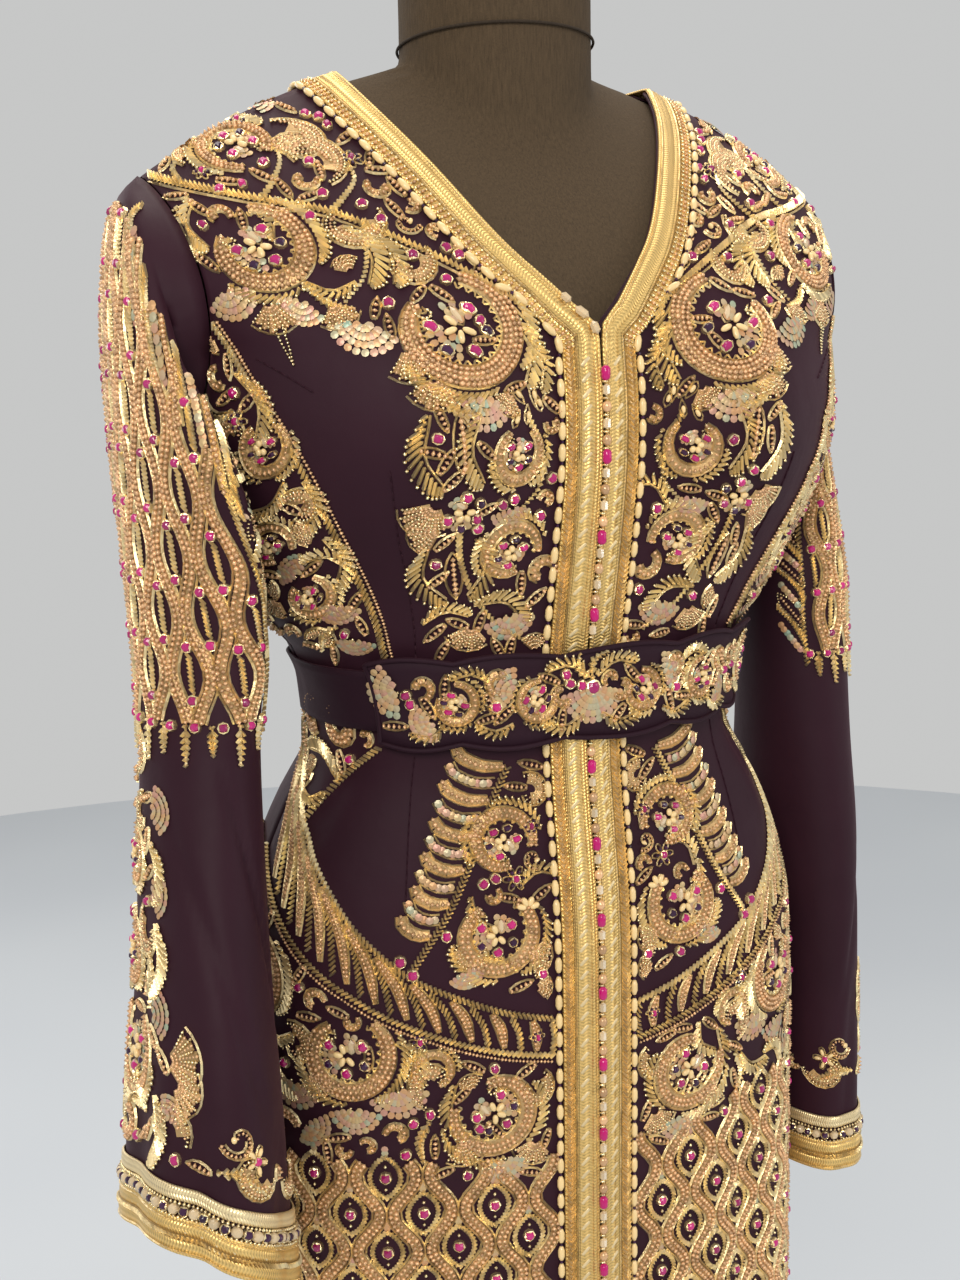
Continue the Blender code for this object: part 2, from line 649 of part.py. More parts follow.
def build_stand(finishes):
    """The limbless form, its cap, pole, collar and base."""
    mesh = grid_mesh("form", form_rings(), closed=True, caps=True)
    place("form", mesh, finishes["linen"])
    cap_low = FORM_TOP + SEAM
    profile = [(0, cap_low + CAP_TALL), *rounded(CAP_RADIUS, cap_low + CAP_TALL, CAP_ROUND, 4)]
    profile += [(CAP_RADIUS, cap_low), (0, cap_low)]
    turned("neck_cap", profile, finishes["wood"]).location.y = NECK_Y
    high = FORM_LOW - SEAM
    bore = POLE_RADIUS + SEAM
    profile = [(bore, high), (COLLAR_RADIUS, high), (COLLAR_RADIUS, high - COLLAR_TALL),
               (bore, high - COLLAR_TALL), (bore, high)]
    turned("pole_collar", profile, finishes["steel"], steps=32)
    low = BASE_TALL + SEAM
    profile = [(0, high), (POLE_RADIUS, high), (POLE_RADIUS, low), (0, low)]
    turned("pole", profile, finishes["steel"], steps=24)
    profile = [(0, BASE_TALL), *rounded(BASE_RADIUS, BASE_TALL, BASE_ROUND, 3)]
    profile += [(BASE_RADIUS, 0), (0, 0)]
    turned("base", profile, finishes["steel"], steps=48)


def main():
    """Clear the scene and build the part."""
    for thing in list(bpy.data.objects):
        bpy.data.objects.remove(thing, do_unlink=True)
    group = bpy.data.collections.new(COLLECTION)
    bpy.context.scene.collection.children.link(group)
    finishes = {
        "crepe": material("crepe", (0.030, 0.012, 0.022), 0.55),
        "velvet": material("belt_velvet", (0.028, 0.012, 0.022), 0.60),
        "braid": material("gold_braid", (0.72, 0.52, 0.22), 0.38, 0.6),
        "stone": material("pink_stone", (0.75, 0.03, 0.25), 0.15),
        "linen": material("form_linen", (0.035, 0.025, 0.016), 0.85),
        "wood": material("cap_wood", (0.10, 0.06, 0.035), 0.45),
        "steel": material("stand_steel", (0.05, 0.05, 0.05), 0.40, 0.8),
    }
    build_cloth(finishes)
    for i, z in enumerate(button_heights()):
        button("button_%02d" % (i + 1), z, finishes["stone"])
    build_stand(finishes)


main()
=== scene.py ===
"""The looks of a belted Moroccan kaftan on a limbless dress form.

Frame: metres, +Z up, the front faces -Y, the wearer's left is +X.
The cloth's curved surfaces are worked out from the same sizes as the frame's solids.
"""

import json
import math

import bmesh
import bpy
import numpy as np
from mathutils import Matrix, Vector

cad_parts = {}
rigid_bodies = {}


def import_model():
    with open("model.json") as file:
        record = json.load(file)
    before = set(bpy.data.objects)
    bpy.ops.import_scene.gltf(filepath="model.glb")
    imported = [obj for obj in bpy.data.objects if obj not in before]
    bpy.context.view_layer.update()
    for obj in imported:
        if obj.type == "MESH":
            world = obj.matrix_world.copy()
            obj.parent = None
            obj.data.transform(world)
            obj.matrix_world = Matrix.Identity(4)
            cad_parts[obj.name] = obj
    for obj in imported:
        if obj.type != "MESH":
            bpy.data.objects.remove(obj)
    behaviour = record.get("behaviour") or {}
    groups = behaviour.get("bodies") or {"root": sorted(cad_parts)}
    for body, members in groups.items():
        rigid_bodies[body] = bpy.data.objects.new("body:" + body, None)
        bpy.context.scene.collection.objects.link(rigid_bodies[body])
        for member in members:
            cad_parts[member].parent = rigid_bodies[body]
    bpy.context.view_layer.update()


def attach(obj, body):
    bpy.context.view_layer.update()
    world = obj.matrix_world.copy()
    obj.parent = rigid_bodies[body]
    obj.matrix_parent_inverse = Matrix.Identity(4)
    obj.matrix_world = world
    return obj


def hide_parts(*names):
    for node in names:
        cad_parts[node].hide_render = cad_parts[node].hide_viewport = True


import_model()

# ---------------------------------------------------------------- sizes shared with the solids
CLOTH, BRAID, SEAM, LAYER = 0.0015, 0.0015, 0.0003, 0.0007
HEM, PIT, CHEST, WAIST = 0.030, 1.185, 1.250, 1.045
SECTION_COLUMNS = ("height", "half", "front", "back", "power")
SECTIONS = (
    (0.030, 0.2200, 0.1270, 0.1400, 2.30),
    (0.300, 0.2060, 0.1180, 0.1320, 2.35),
    (0.550, 0.1965, 0.1125, 0.1270, 2.45),
    (0.700, 0.1935, 0.1115, 0.1260, 2.50),
    (0.800, 0.1925, 0.1120, 0.1260, 2.50),
    (0.880, 0.1874, 0.1120, 0.1210, 2.50),
    (0.910, 0.1807, 0.1105, 0.1170, 2.50),
    (0.940, 0.1705, 0.1070, 0.1110, 2.50),
    (0.970, 0.1565, 0.1025, 0.1030, 2.45),
    (1.000, 0.1410, 0.0990, 0.0880, 2.40),
    (1.022, 0.1390, 0.0980, 0.0800, 2.40),
    (1.045, 0.1415, 0.0978, 0.0790, 2.40),
    (1.068, 0.1490, 0.0990, 0.0830, 2.40),
    (1.092, 0.1685, 0.1035, 0.0940, 2.40),
    (1.118, 0.1823, 0.1090, 0.0975, 2.50),
    (1.143, 0.1940, 0.1135, 0.1005, 2.60),
    (1.164, 0.2027, 0.1165, 0.1035, 2.70),
    (1.185, 0.2081, 0.1185, 0.1065, 2.80),
    (1.210, 0.2110, 0.1190, 0.1090, 2.80),
    (1.250, 0.2083, 0.1160, 0.1120, 2.80),
)
BUST_X, BUST_Z, BUST_REACH, BUST_WIDE, BUST_TALL = 0.100, 1.200, 0.026, 0.056, 0.062
RIDGE_TOP, RIDGE_RISE, RIDGE_CURVE, RIDGE_Y = 1.421, 0.06, 1.75, 0.016
SHOULDER_SPREAD = 0.05
FRONT_LEAN, BACK_LEAN = (1.35, 0.85), (3.2, 0.47)
NECK_SHARE = (0.0, 0.03, 0.13, 0.335, 0.59, 0.86, 1.0)
NECK_X = (0.0003, 0.0010, 0.016, 0.047, 0.072, 0.095, 0.104)
V_LOW, NECK_DROP, SHOULDER_EDGE = 0.03, 0.17, 0.9975
ARM_SHARE = (0.0, 0.3, 0.6, 0.85, 1.0)
ARM_FRONT_X = (0.202, 0.205, 0.211, 0.218, 0.2233)
ARM_BACK_X = (0.190, 0.191, 0.198, 0.210, 0.2233)
FLUTE_TOP, FLUTE_DEPTH, FLUTE_COUNT, FLUTE_GROWTH = 0.62, 0.006, 9, 1.5
FLUTE_FLAT, FLUTE_UNEVEN = 0.5, 0.6
SLEEVE_COLUMNS = ("outer_x", "outer_z", "inner_x", "inner_z", "middle_y", "half_y", "tuck",
                  "rise")
SLEEVE_RIGHT = (
    (0.2370, 1.335, 0.2135, 1.184, 0.010, 0.060, 0.000, 0.000),
    (0.2460, 1.298, 0.2140, 1.178, 0.000, 0.068, 0.006, 0.000),
    (0.2500, 1.250, 0.2130, 1.168, -0.012, 0.080, 0.018, 0.000),
    (0.2505, 1.195, 0.2085, 1.148, -0.022, 0.084, 0.024, 0.000),
    (0.2500, 1.140, 0.1960, 1.118, -0.026, 0.073, 0.022, 0.000),
    (0.2500, 1.085, 0.1865, 1.080, -0.033, 0.058, 0.013, 0.000),
    (0.2530, 1.030, 0.1900, 1.030, -0.046, 0.050, 0.004, 0.000),
    (0.2590, 0.980, 0.1940, 0.980, -0.060, 0.056, 0.000, 0.000),
    (0.2680, 0.905, 0.1985, 0.888, -0.077, 0.070, 0.000, 0.007),
    (0.2775, 0.842, 0.1985, 0.806, -0.087, 0.076, 0.000, 0.017),
    (0.2865, 0.767, 0.1975, 0.711, -0.093, 0.079, 0.000, 0.027),
)
SLEEVE_LEFT = (
    (0.2270, 1.335, 0.2130, 1.184, 0.018, 0.048, 0.000, 0.000),
    (0.2280, 1.298, 0.2135, 1.178, 0.024, 0.045, 0.000, 0.000),
    (0.2300, 1.250, 0.2130, 1.168, 0.027, 0.044, 0.000, 0.000),
    (0.2360, 1.195, 0.2080, 1.148, 0.025, 0.045, 0.000, 0.000),
    (0.2470, 1.140, 0.1930, 1.118, 0.020, 0.047, 0.000, 0.000),
    (0.2560, 1.085, 0.1840, 1.080, 0.015, 0.047, 0.000, 0.000),
    (0.2585, 1.030, 0.1890, 1.030, 0.012, 0.045, 0.000, 0.000),
    (0.2610, 0.980, 0.1930, 0.980, 0.014, 0.050, 0.000, 0.000),
    (0.2665, 0.900, 0.1985, 0.900, 0.020, 0.063, 0.000, 0.000),
    (0.2680, 0.800, 0.2005, 0.800, 0.026, 0.075, 0.000, 0.000),
    (0.2690, 0.650, 0.2010, 0.650, 0.030, 0.084, 0.000, 0.000),
)
SLEEVE_START, SLEEVE_UNDER = 0.0018, 0.0018
BAND_WIDE, BAND_RISE, NECK_BAND_LOW = 0.0225, 0.004, 0.0078
BELT_WRAP_TALL, BELT_WRAP_WALL = 0.038, 0.0020
BELT_PANEL_TALL, BELT_PANEL_FROM, BELT_PANEL_TO = 0.058, -52.0, 66.0
BELT_SCALLOPS, BELT_SCALLOP_DEPTH, BELT_BRIDGE = 5, 0.004, 0.085
BUTTON_PITCH, BUTTON_TOP, BUTTON_LOW, BUTTON_CLEAR = 0.0465, 1.232, 0.06, 0.008
NECK_RADIUS, NECK_Y, NECK_SEAM_Z = 0.0598, 0.016, 1.430
NECK_MIDDLE = np.array((0, 0, 1.40))


# ---------------------------------------------------------------- the body's surface
def smooth(xs, ys, x):
    """Cubic curve through the table's points, without overshoot between them."""
    xs = np.asarray(xs, float)
    ys = np.asarray(ys, float)
    x = np.clip(np.asarray(x, float), xs[0], xs[-1])
    step = np.diff(xs)
    slope = (np.diff(ys, axis=0).T / step).T
    turns = slope[:-1] * slope[1:] > 0
    inner = np.where(turns, 2 * slope[:-1] * slope[1:] / (slope[:-1] + slope[1:] + 1e-30), 0.0)
    tangent = np.concatenate([slope[:1], inner, slope[-1:]])
    i = np.clip(np.searchsorted(xs, x, side="right") - 1, 0, len(xs) - 2)
    t, width = (x - xs[i]) / step[i], step[i]
    if ys.ndim > 1:
        t, width = t[:, None, None], width[:, None, None]
    return ((2 * t**3 - 3 * t**2 + 1) * ys[i] + (t**3 - 2 * t**2 + t) * width * tangent[i]
            + (3 * t**2 - 2 * t**3) * ys[i + 1] + (t**3 - t**2) * width * tangent[i + 1])


def length_along(points):
    """Distance along a line from its first point to each of its points."""
    steps = np.linalg.norm(np.diff(points, axis=0), axis=1)
    return np.concatenate([[0], np.cumsum(steps)])


def read_at(places, run, table):
    """The columns of a table at these distances along it."""
    return np.stack([np.interp(places, run, column) for column in table.T], axis=1)


def unit(vectors):
    """The same directions, one long."""
    return vectors / (np.linalg.norm(vectors, axis=-1, keepdims=True) + 1e-12)


def toward(degrees):
    """The direction at this angle from +x."""
    return np.array((math.cos(math.radians(degrees)), math.sin(math.radians(degrees))))


def paired(x, y):
    """Places from two coordinates, either of which may be one number."""
    return np.stack(np.broadcast_arrays(x, y), axis=1)


def upright(x, low, high):
    """A line straight up."""
    return np.array([(x, low), (x, high)])


def rays(turns):
    """The directions at angles in radians."""
    return paired(np.cos(turns), np.sin(turns))


def size(name, z):
    """One named size of the body's section at height z."""
    place = SECTION_COLUMNS.index(name)
    return smooth([row[0] for row in SECTIONS], [row[place] for row in SECTIONS], z)


def bust(x, z):
    """How far the bust stands in front of the plain section."""
    across = np.exp(-((x - BUST_X) / BUST_WIDE) ** 2) + np.exp(-((x + BUST_X) / BUST_WIDE) ** 2)
    return BUST_REACH * across * np.exp(-((z - BUST_Z) / BUST_TALL) ** 2)


def flute(angle, z):
    """Soft outward wave of the skirt, nothing at the middle of the front."""
    growth = np.clip((FLUTE_TOP - z) / (FLUTE_TOP - HEM), 0, None) ** FLUTE_GROWTH
    keep_flat = 1 - np.exp(-(angle / FLUTE_FLAT) ** 2)
    return FLUTE_DEPTH * growth * keep_flat * np.cos(
        FLUTE_COUNT * angle + FLUTE_UNEVEN * np.sin(2 * angle))


def ring_point(angle, z):
    """Inner face of the body at these heights; angle 0 is the front, +90 degrees is +X."""
    angle, z = np.broadcast_arrays(np.asarray(angle, float), np.asarray(z, float))
    power = 2 / size("power", z)
    across, along = np.sin(angle), np.cos(angle)
    x = size("half", z) * np.sign(across) * np.abs(across) ** power
    depth = np.abs(along) ** power
    front = -size("front", z) * depth - bust(x, z) * np.minimum(1, 3 * depth)
    y = np.where(along > 0, front, size("back", z) * depth)
    wave = flute(angle, z)
    return np.stack([x + wave * across, y - wave * along, z], axis=-1)


def ridge(x):
    """Height of the shoulder seam."""
    return RIDGE_TOP + RIDGE_RISE * np.abs(x) - RIDGE_CURVE * x * x


def chest_point(x, way):
    """Inner face above the chest line: way 0 to 1 climbs the front, 1 to 2 goes down the back."""
    x, way = np.broadcast_arrays(np.asarray(x, float), np.asarray(way, float))
    back = way > 1
    share = np.clip(np.where(back, 2 - way, way), 0, 1)
    z = CHEST + share * (ridge(x) - CHEST)
    half, power = size("half", CHEST), size("power", CHEST)
    out = np.minimum(np.abs(x) / (half + SHOULDER_SPREAD * share), 1.0)
    round_off = (1 - out ** power) ** (1 / power)
    depth = np.where(back, size("back", CHEST), -size("front", CHEST)) * round_off
    fall = np.where(back, (1 - share ** BACK_LEAN[0]) ** BACK_LEAN[1],
                    (1 - share ** FRONT_LEAN[0]) ** FRONT_LEAN[1])
    y = RIDGE_Y + (depth - RIDGE_Y) * fall
    y = y - np.where(back, 0, bust(x, z) * (1 - share ** 2))
    return np.stack([x, y, z], axis=-1)


def arm_x(share, back):
    """Distance of the armhole from the middle, by share of the way up to the ridge."""
    return smooth(ARM_SHARE, ARM_BACK_X if back else ARM_FRONT_X, share)


def arm_angle(z, back):
    """Angle from the middle of the front or back to the armhole or the side seam."""
    if z <= PIT:
        return math.pi / 2
    share = (z - PIT) / (CHEST - PIT)
    power = size("power", CHEST)
    widest = (1 - (arm_x(0, back) / size("half", CHEST)) ** power) ** (1 / power)
    depth = widest * math.sqrt(1 - (1 - share) ** 2)
    return math.acos(depth ** (size("power", z) / 2))


def front_angle(x, z):
    """The ring angle of a point this far from the middle of the front."""
    share = np.minimum(1.0, np.abs(x) / size("half", z))
    return np.arcsin(share ** (size("power", z) / 2)) * np.sign(x)


def even(points, count):
    """The same line with its points spread evenly along it; columns after the third follow."""
    points = np.asarray(points, float)
    run = length_along(points[:, :3])
    return read_at(np.linspace(0, run[-1], count), run, points)


def outward(grid, closed=False, flip=False):
    """Unit directions away from a grid's face."""
    if closed:
        across = np.roll(grid, -1, axis=1) - np.roll(grid, 1, axis=1)
    else:
        across = np.gradient(grid, axis=1)
    out = unit(np.cross(across, np.gradient(grid, axis=0)))
    return -out if flip else out


# ---------------------------------------------------------------- creases placed one by one
CREASE_COLUMNS = ("round", "height", "length", "width", "depth", "lean")
BODY_ROUND = 0.16         # metres round the body for one radian of bearing
BODY_CREASES = (
    (-0.310, 1.195, 0.030, 0.010, 0.0030, 0.5),
    (0.310, 1.190, 0.034, 0.010, 0.0026, -0.4),
    (-0.200, 0.985, 0.050, 0.009, 0.0016, 0.3),
    (0.190, 0.990, 0.045, 0.010, 0.0018, -0.2),
    (-0.130, 0.560, 0.220, 0.012, 0.0035, 0.04),
    (0.150, 0.480, 0.260, 0.014, 0.0040, -0.05),
    (-0.240, 0.420, 0.280, 0.014, 0.0045, 0.06),
    (0.250, 0.620, 0.180, 0.011, 0.0030, 0.03),
    (0.470, 1.120, 0.060, 0.012, 0.0026, 0.45),
    (-0.470, 1.125, 0.055, 0.011, 0.0024, -0.5),
    (0.400, 0.980, 0.060, 0.012, 0.0028, 0.35),
    (-0.410, 0.975, 0.055, 0.013, 0.0030, -0.3),
    (0.440, 0.480, 0.300, 0.016, 0.0050, 0.03),
    (-0.450, 0.520, 0.280, 0.015, 0.0048, -0.04),
    (0.340, 0.350, 0.240, 0.013, 0.0040, -0.03),
    (-0.350, 0.300, 0.260, 0.014, 0.0042, 0.05),
)


def crease_depth(across, height, table):
    """How far soft troughs sink the cloth at these places."""
    depth = np.zeros(np.shape(across))
    for row in table:
        fold = dict(zip(CREASE_COLUMNS, row))
        up = height - fold["height"]
        side = across - fold["round"] - fold["lean"] * up
        depth += fold["depth"] * np.exp(-(side / fold["width"]) ** 2
                                        - (up / fold["length"]) ** 4)
    return depth


def creased_body(grid):
    """The body's grid with its troughs, pressed inwards along its own direction."""
    bearing = np.arctan2(grid[..., 0], -grid[..., 1]) * BODY_ROUND
    depth = crease_depth(bearing, grid[..., 2], BODY_CREASES)
    return grid - outward(grid) * depth[..., None]


# ---------------------------------------------------------------- panels
def front_grid(side, columns=40, rows_below=130, rows_above=40):
    """Points of one front panel, row by row upwards; side is -1 on the wearer's right."""
    grid = []
    for z in np.linspace(HEM, CHEST, rows_below):
        end = arm_angle(z, False) - (SEAM / size("half", z) if z <= PIT else 0.0)
        grid.append(even(ring_point(np.linspace(front_angle(SEAM, z), end, 120), z), columns))
    shares = (grid[-1][:, 0] - NECK_X[0]) / (grid[-1][-1, 0] - NECK_X[0])
    for way in np.linspace(0, 1, rows_above + 1)[1:]:
        inner, outer = smooth(NECK_SHARE, NECK_X, way), arm_x(way, False)
        grid.append(chest_point(inner + (outer - inner) * shares, min(way, SHOULDER_EDGE)))
    grid = np.array(grid)
    return creased_body(grid if side > 0 else grid[:, ::-1] * (-1, 1, 1))


def back_grid(columns=58, rows_below=96, rows_above=30):
    """Points of the back panel, row by row upwards, from the wearer's left to the right."""
    grid = []
    for z in np.linspace(HEM, CHEST, rows_below):
        end = arm_angle(z, True) - (SEAM / size("half", z) if z <= PIT else 0.0)
        grid.append(even(ring_point(np.linspace(math.pi - end, math.pi + end, 160), z), columns))
    sides = grid[-1][:, 0] / grid[-1][0, 0]
    for share in 1 - (1 - np.linspace(0, 1, rows_above + 1)[1:]) ** 1.8:
        x = sides * arm_x(share, True)
        neck = np.maximum(0.0, 1 - (x / NECK_X[-1]) ** 2)
        grid.append(chest_point(x, 2 - min(share, SHOULDER_EDGE) * (1 - NECK_DROP * neck)))
    return creased_body(np.array(grid))


def armhole(side, count):
    """Loop of the armhole, from the shoulder tip down the front and up the back."""
    halves = []
    for back in (False, True):
        edge = []
        for share in np.linspace(1, 0, 40):
            edge.append(chest_point(side * arm_x(share, back), 2 - share if back else share))
        for z in np.linspace(CHEST, PIT, 40)[1:]:
            angle = arm_angle(z, back)
            edge.append(ring_point(side * (math.pi - angle if back else angle), z))
        halves.append(even(edge, count // 2 + 1))
    return np.concatenate([halves[0][:-1], halves[1][::-1][:-1]])


def sleeve_ring(side, row, count):
    """One ring of a sleeve from its row of the table; its front is drawn in over the body."""
    sizes = dict(zip(SLEEVE_COLUMNS, row))
    outer = np.array((sizes["outer_x"] * side, sizes["middle_y"], sizes["outer_z"]))
    inner = np.array((sizes["inner_x"] * side, sizes["middle_y"], sizes["inner_z"]))
    turn = 2 * np.pi * np.arange(count)[:, None] / count
    deep = np.array((0, -sizes["half_y"], sizes["rise"]))
    drawn_in = np.array((-side * sizes["tuck"], 0, 0)) * np.clip(np.sin(turn), 0, None) ** 2
    return (outer + inner) / 2 + (outer - inner) / 2 * np.cos(turn) + deep * np.sin(turn) + drawn_in


SLEEVE_CREASES = {        # round from the outer line towards the front, distance down the sleeve
    -1: (
        (0.075, 0.40, 0.050, 0.010, 0.0024, 0.9),
        (0.110, 0.33, 0.045, 0.009, 0.0030, 1.1),
        (0.020, 0.56, 0.110, 0.016, 0.0035, 0.10),
        (0.085, 0.58, 0.120, 0.014, 0.0050, 0.18),
        (0.150, 0.55, 0.110, 0.013, 0.0040, 0.12),
        (-0.060, 0.55, 0.120, 0.016, 0.0050, -0.12),
        (-0.130, 0.50, 0.130, 0.014, 0.0045, -0.08),
        (-0.100, 0.34, 0.050, 0.011, 0.0034, -0.9),
    ),
    1: (
        (0.050, 0.45, 0.060, 0.010, 0.0026, 0.7),
        (0.030, 0.60, 0.120, 0.014, 0.0040, 0.10),
        (0.095, 0.62, 0.120, 0.013, 0.0045, 0.14),
        (-0.050, 0.58, 0.130, 0.015, 0.0050, -0.10),
        (-0.110, 0.60, 0.110, 0.013, 0.0040, -0.12),
        (-0.080, 0.36, 0.050, 0.010, 0.0030, -0.8),
    ),
}


def sleeve_grid(side, rows=96, count=70):
    """Fine rings of a sleeve, from the armhole to the cuff, with its troughs."""
    table = SLEEVE_RIGHT if side < 0 else SLEEVE_LEFT
    start = armhole(side, count)
    under = (1 - np.cos(2 * np.pi * np.arange(count) / count)) / 2
    start[:, 0] += side * (SLEEVE_START + SLEEVE_UNDER * under ** 4)
    rings = np.array([start] + [sleeve_ring(side, row, count) for row in table])
    run = length_along(rings.mean(axis=1))
    grid = smooth(run, rings, np.linspace(0, run[-1], rows))
    out = outward(grid, closed=True, flip=side < 0)
    reach = np.linalg.norm(np.diff(grid, axis=0, append=grid[-1:]), axis=2)
    down = np.cumsum(reach, axis=0) - reach
    wide = np.linalg.norm(np.roll(grid, -1, axis=1) - grid, axis=2)
    around = np.cumsum(wide, axis=1) - wide
    around = np.where(np.arange(count) <= count // 2, around, around - wide.sum(1)[:, None])
    depth = crease_depth(around, down, SLEEVE_CREASES[side])
    fade = np.clip(down / 0.05, 0, 1) * np.clip((down.max() - down) / 0.03, 0.25, 1)
    return grid - out * (depth * fade)[..., None]


# ---------------------------------------------------------------- sheets that trims lie on
SHEET_HALF, SHEET_STEP = 0.40, 0.0025


class Sheet:
    """A cloth face that is read by metres round it and a height or distance along it."""

    def __init__(self, levels, lines, middles, half=SHEET_HALF, step=SHEET_STEP):
        self.levels, self.half = np.asarray(levels, float), half
        across = np.arange(-half, half + step / 2, step)
        self.step = step
        points, self.girths = [], []
        for line, middle in zip(lines, middles):
            run = length_along(line)
            self.girths.append(run[-1])
            points.append(read_at(across, run - run[middle], line))
        self.points = np.array(points)
        self.used = np.zeros(self.points.shape[:2], bool)
        self.rise = (self.levels[-1] - self.levels[0]) / (len(self.levels) - 1)
        self.slope()

    def slope(self):
        """Works out how the points change across and along."""
        self.across = np.gradient(self.points, self.step, axis=1)
        self.along = np.gradient(self.points, self.rise, axis=0)

    def girth(self, v):
        """How far it is round the cloth at a level."""
        return float(np.interp(v, self.levels, self.girths))

    def read(self, table, u, v):
        """A table's values between its cells."""
        i = np.clip((np.asarray(v) - self.levels[0]) / self.rise, 0, len(self.levels) - 1.001)
        j = np.clip((np.asarray(u) + self.half) / self.step, 0, table.shape[1] - 1.001)
        low, left = i.astype(int), j.astype(int)
        s, t = (i - low)[..., None], (j - left)[..., None]
        near = table[low, left] * (1 - t) + table[low, left + 1] * t
        far = table[low + 1, left] * (1 - t) + table[low + 1, left + 1] * t
        return near * (1 - s) + far * s

    def at(self, u, v):
        """Points, and unit directions across, along and out."""
        across = unit(self.read(self.across, u, v))
        out = unit(np.cross(across, self.read(self.along, u, v)))
        return self.read(self.points, u, v), across, np.cross(out, across), out

    def cell(self, u, v):
        """Row and column of the nearest cell."""
        i = np.rint((np.asarray(v) - self.levels[0]) / self.rise).astype(int)
        j = np.rint((np.asarray(u) + self.half) / self.step).astype(int)
        return (np.clip(i, 0, self.used.shape[0] - 1), np.clip(j, 0, self.used.shape[1] - 1))

    def take(self, u, v):
        """Notes that places carry beads."""
        self.used[self.cell(u, v)] = True

    def stretch(self, u, v):
        """Metres of cloth for one metre of the along coordinate."""
        return float(np.linalg.norm(self.read(self.along, np.float64(u), np.float64(v))))


def body_sheet():
    """The outer face of both fronts, round from the middle of the front; along is height."""
    levels = np.arange(HEM, RIDGE_TOP, SHEET_STEP)
    lines = []
    for z in levels:
        if z <= CHEST:
            reach = math.pi if z <= PIT else arm_angle(z, False)
            lines.append(ring_point(np.linspace(-reach, reach, 401), z))
            continue
        x = np.linspace(-ARM_FRONT_X[-1], ARM_FRONT_X[-1], 401)
        way = (z - CHEST) / (ridge(x) - CHEST)
        kept = (np.abs(x) <= arm_x(np.clip(way, 0, 1), False)) & (way < SHOULDER_EDGE)
        lines.append(chest_point(x[kept], way[kept]))
    sheet = Sheet(levels, lines, [len(line) // 2 for line in lines])
    grid = creased_body(sheet.points)
    sheet.points = grid + outward(grid) * CLOTH
    sheet.slope()
    return sheet


# ---------------------------------------------------------------- finishes
class Finish:
    """A Principled material with its nodes."""

    def __init__(self, name, colour, roughness, metallic=0.0, **sockets):
        self.material = bpy.data.materials.new(name)
        self.material.use_nodes = True
        self.tree = self.material.node_tree
        self.shader = self.tree.nodes["Principled BSDF"]
        self.shader.inputs["Base Color"].default_value = (*colour, 1)
        self.shader.inputs["Roughness"].default_value = roughness
        self.shader.inputs["Metallic"].default_value = metallic
        for socket, value in sockets.items():
            self.shader.inputs[socket.replace("_", " ")].default_value = value

    def node(self, kind, inputs=None, **settings):
        """A new node; its inputs are values or other nodes' sockets."""
        made = self.tree.nodes.new("ShaderNode" + kind)
        for key, value in settings.items():
            setattr(made, key, value)
        for key, value in (inputs or {}).items():
            if isinstance(value, bpy.types.NodeSocket):
                self.tree.links.new(value, made.inputs[key])
            else:
                made.inputs[key].default_value = value
        return made

    def place(self, kind="Object"):
        return self.node("TexCoord").outputs[kind]

    def scaled(self, scale):
        inputs = {"Vector": self.place(), "Scale": scale}
        return self.node("Mapping", inputs).outputs["Vector"]

    def noise(self, scale, detail=2.0, vector=None):
        vector = vector or self.place()
        inputs = {"Vector": vector, "Scale": scale, "Detail": detail}
        return self.node("TexNoise", inputs).outputs["Fac"]

    def island(self):
        return self.node("NewGeometry").outputs["Random Per Island"]

    def ramp(self, factor, stops):
        """A colour for a factor, from places and colours."""
        made = self.node("ValToRGB", {"Fac": factor})
        bar = made.color_ramp
        while len(bar.elements) < len(stops):
            bar.elements.new(0.5)
        for element, (place, colour) in zip(bar.elements, stops):
            element.position = place
            element.color = (*colour, 1)
        return made.outputs["Color"]

    def maths(self, operation, a, b=0.0):
        return self.node("Math", {0: a, 1: b}, operation=operation).outputs[0]

    def blend(self, first, share, second, rest):
        """The sum of two values, each by its share."""
        return self.maths("ADD", self.maths("MULTIPLY", first, share),
                          self.maths("MULTIPLY", second, rest))

    def to(self, socket, value):
        """Links a value to a socket of the shader."""
        self.tree.links.new(value, self.shader.inputs[socket])
        return self

    def bump(self, height, distance, strength=1.0):
        inputs = {"Height": height, "Distance": distance, "Strength": strength}
        return self.to("Normal", self.node("Bump", inputs).outputs["Normal"])


def spread(colour, low, high):
    """Two shades of a colour."""
    return tuple(c * low for c in colour), tuple(c * high for c in colour)


def crepe_finish(name, colour, roughness=0.56):
    """Matt crepe with a fine weave and slow ripples."""
    made = Finish(name, colour, roughness, Sheen_Weight=0.05, Sheen_Roughness=0.4,
                  Sheen_Tint=(0.80, 0.28, 0.40, 1), Specular_IOR_Level=0.12)
    dark, light = spread(colour, 0.86, 1.16)
    made.to("Base Color", made.ramp(made.noise(9.0, 4.0), [(0.30, dark), (0.70, light)]))
    made.to("Roughness", made.node("MapRange", {"Value": made.noise(60.0, 3.0), 3: roughness - 0.06,
                                                4: roughness + 0.08}).outputs[0])
    weave = made.noise(2600.0, 1.0)
    ripple = made.noise(38.0, 3.0)
    height = made.maths("ADD", made.maths("MULTIPLY", weave, 0.10), ripple)
    return made.bump(height, 0.0011, 0.6).material


def gold_finish(name, colour, roughness, metallic=1.0, bite=(1400.0, 0.0004)):
    """Metal thread or bead gold that varies from bead to bead."""
    made = Finish(name, colour, roughness, metallic)
    dark, light = spread(colour, 0.62, 1.30)
    shade = made.blend(made.island(), 0.7, made.noise(45.0), 0.3)
    made.to("Base Color", made.ramp(shade, [(0.05, dark), (0.5, colour), (0.95, light)]))
    return made.bump(made.noise(bite[0], 2.0), bite[1], 0.5).material


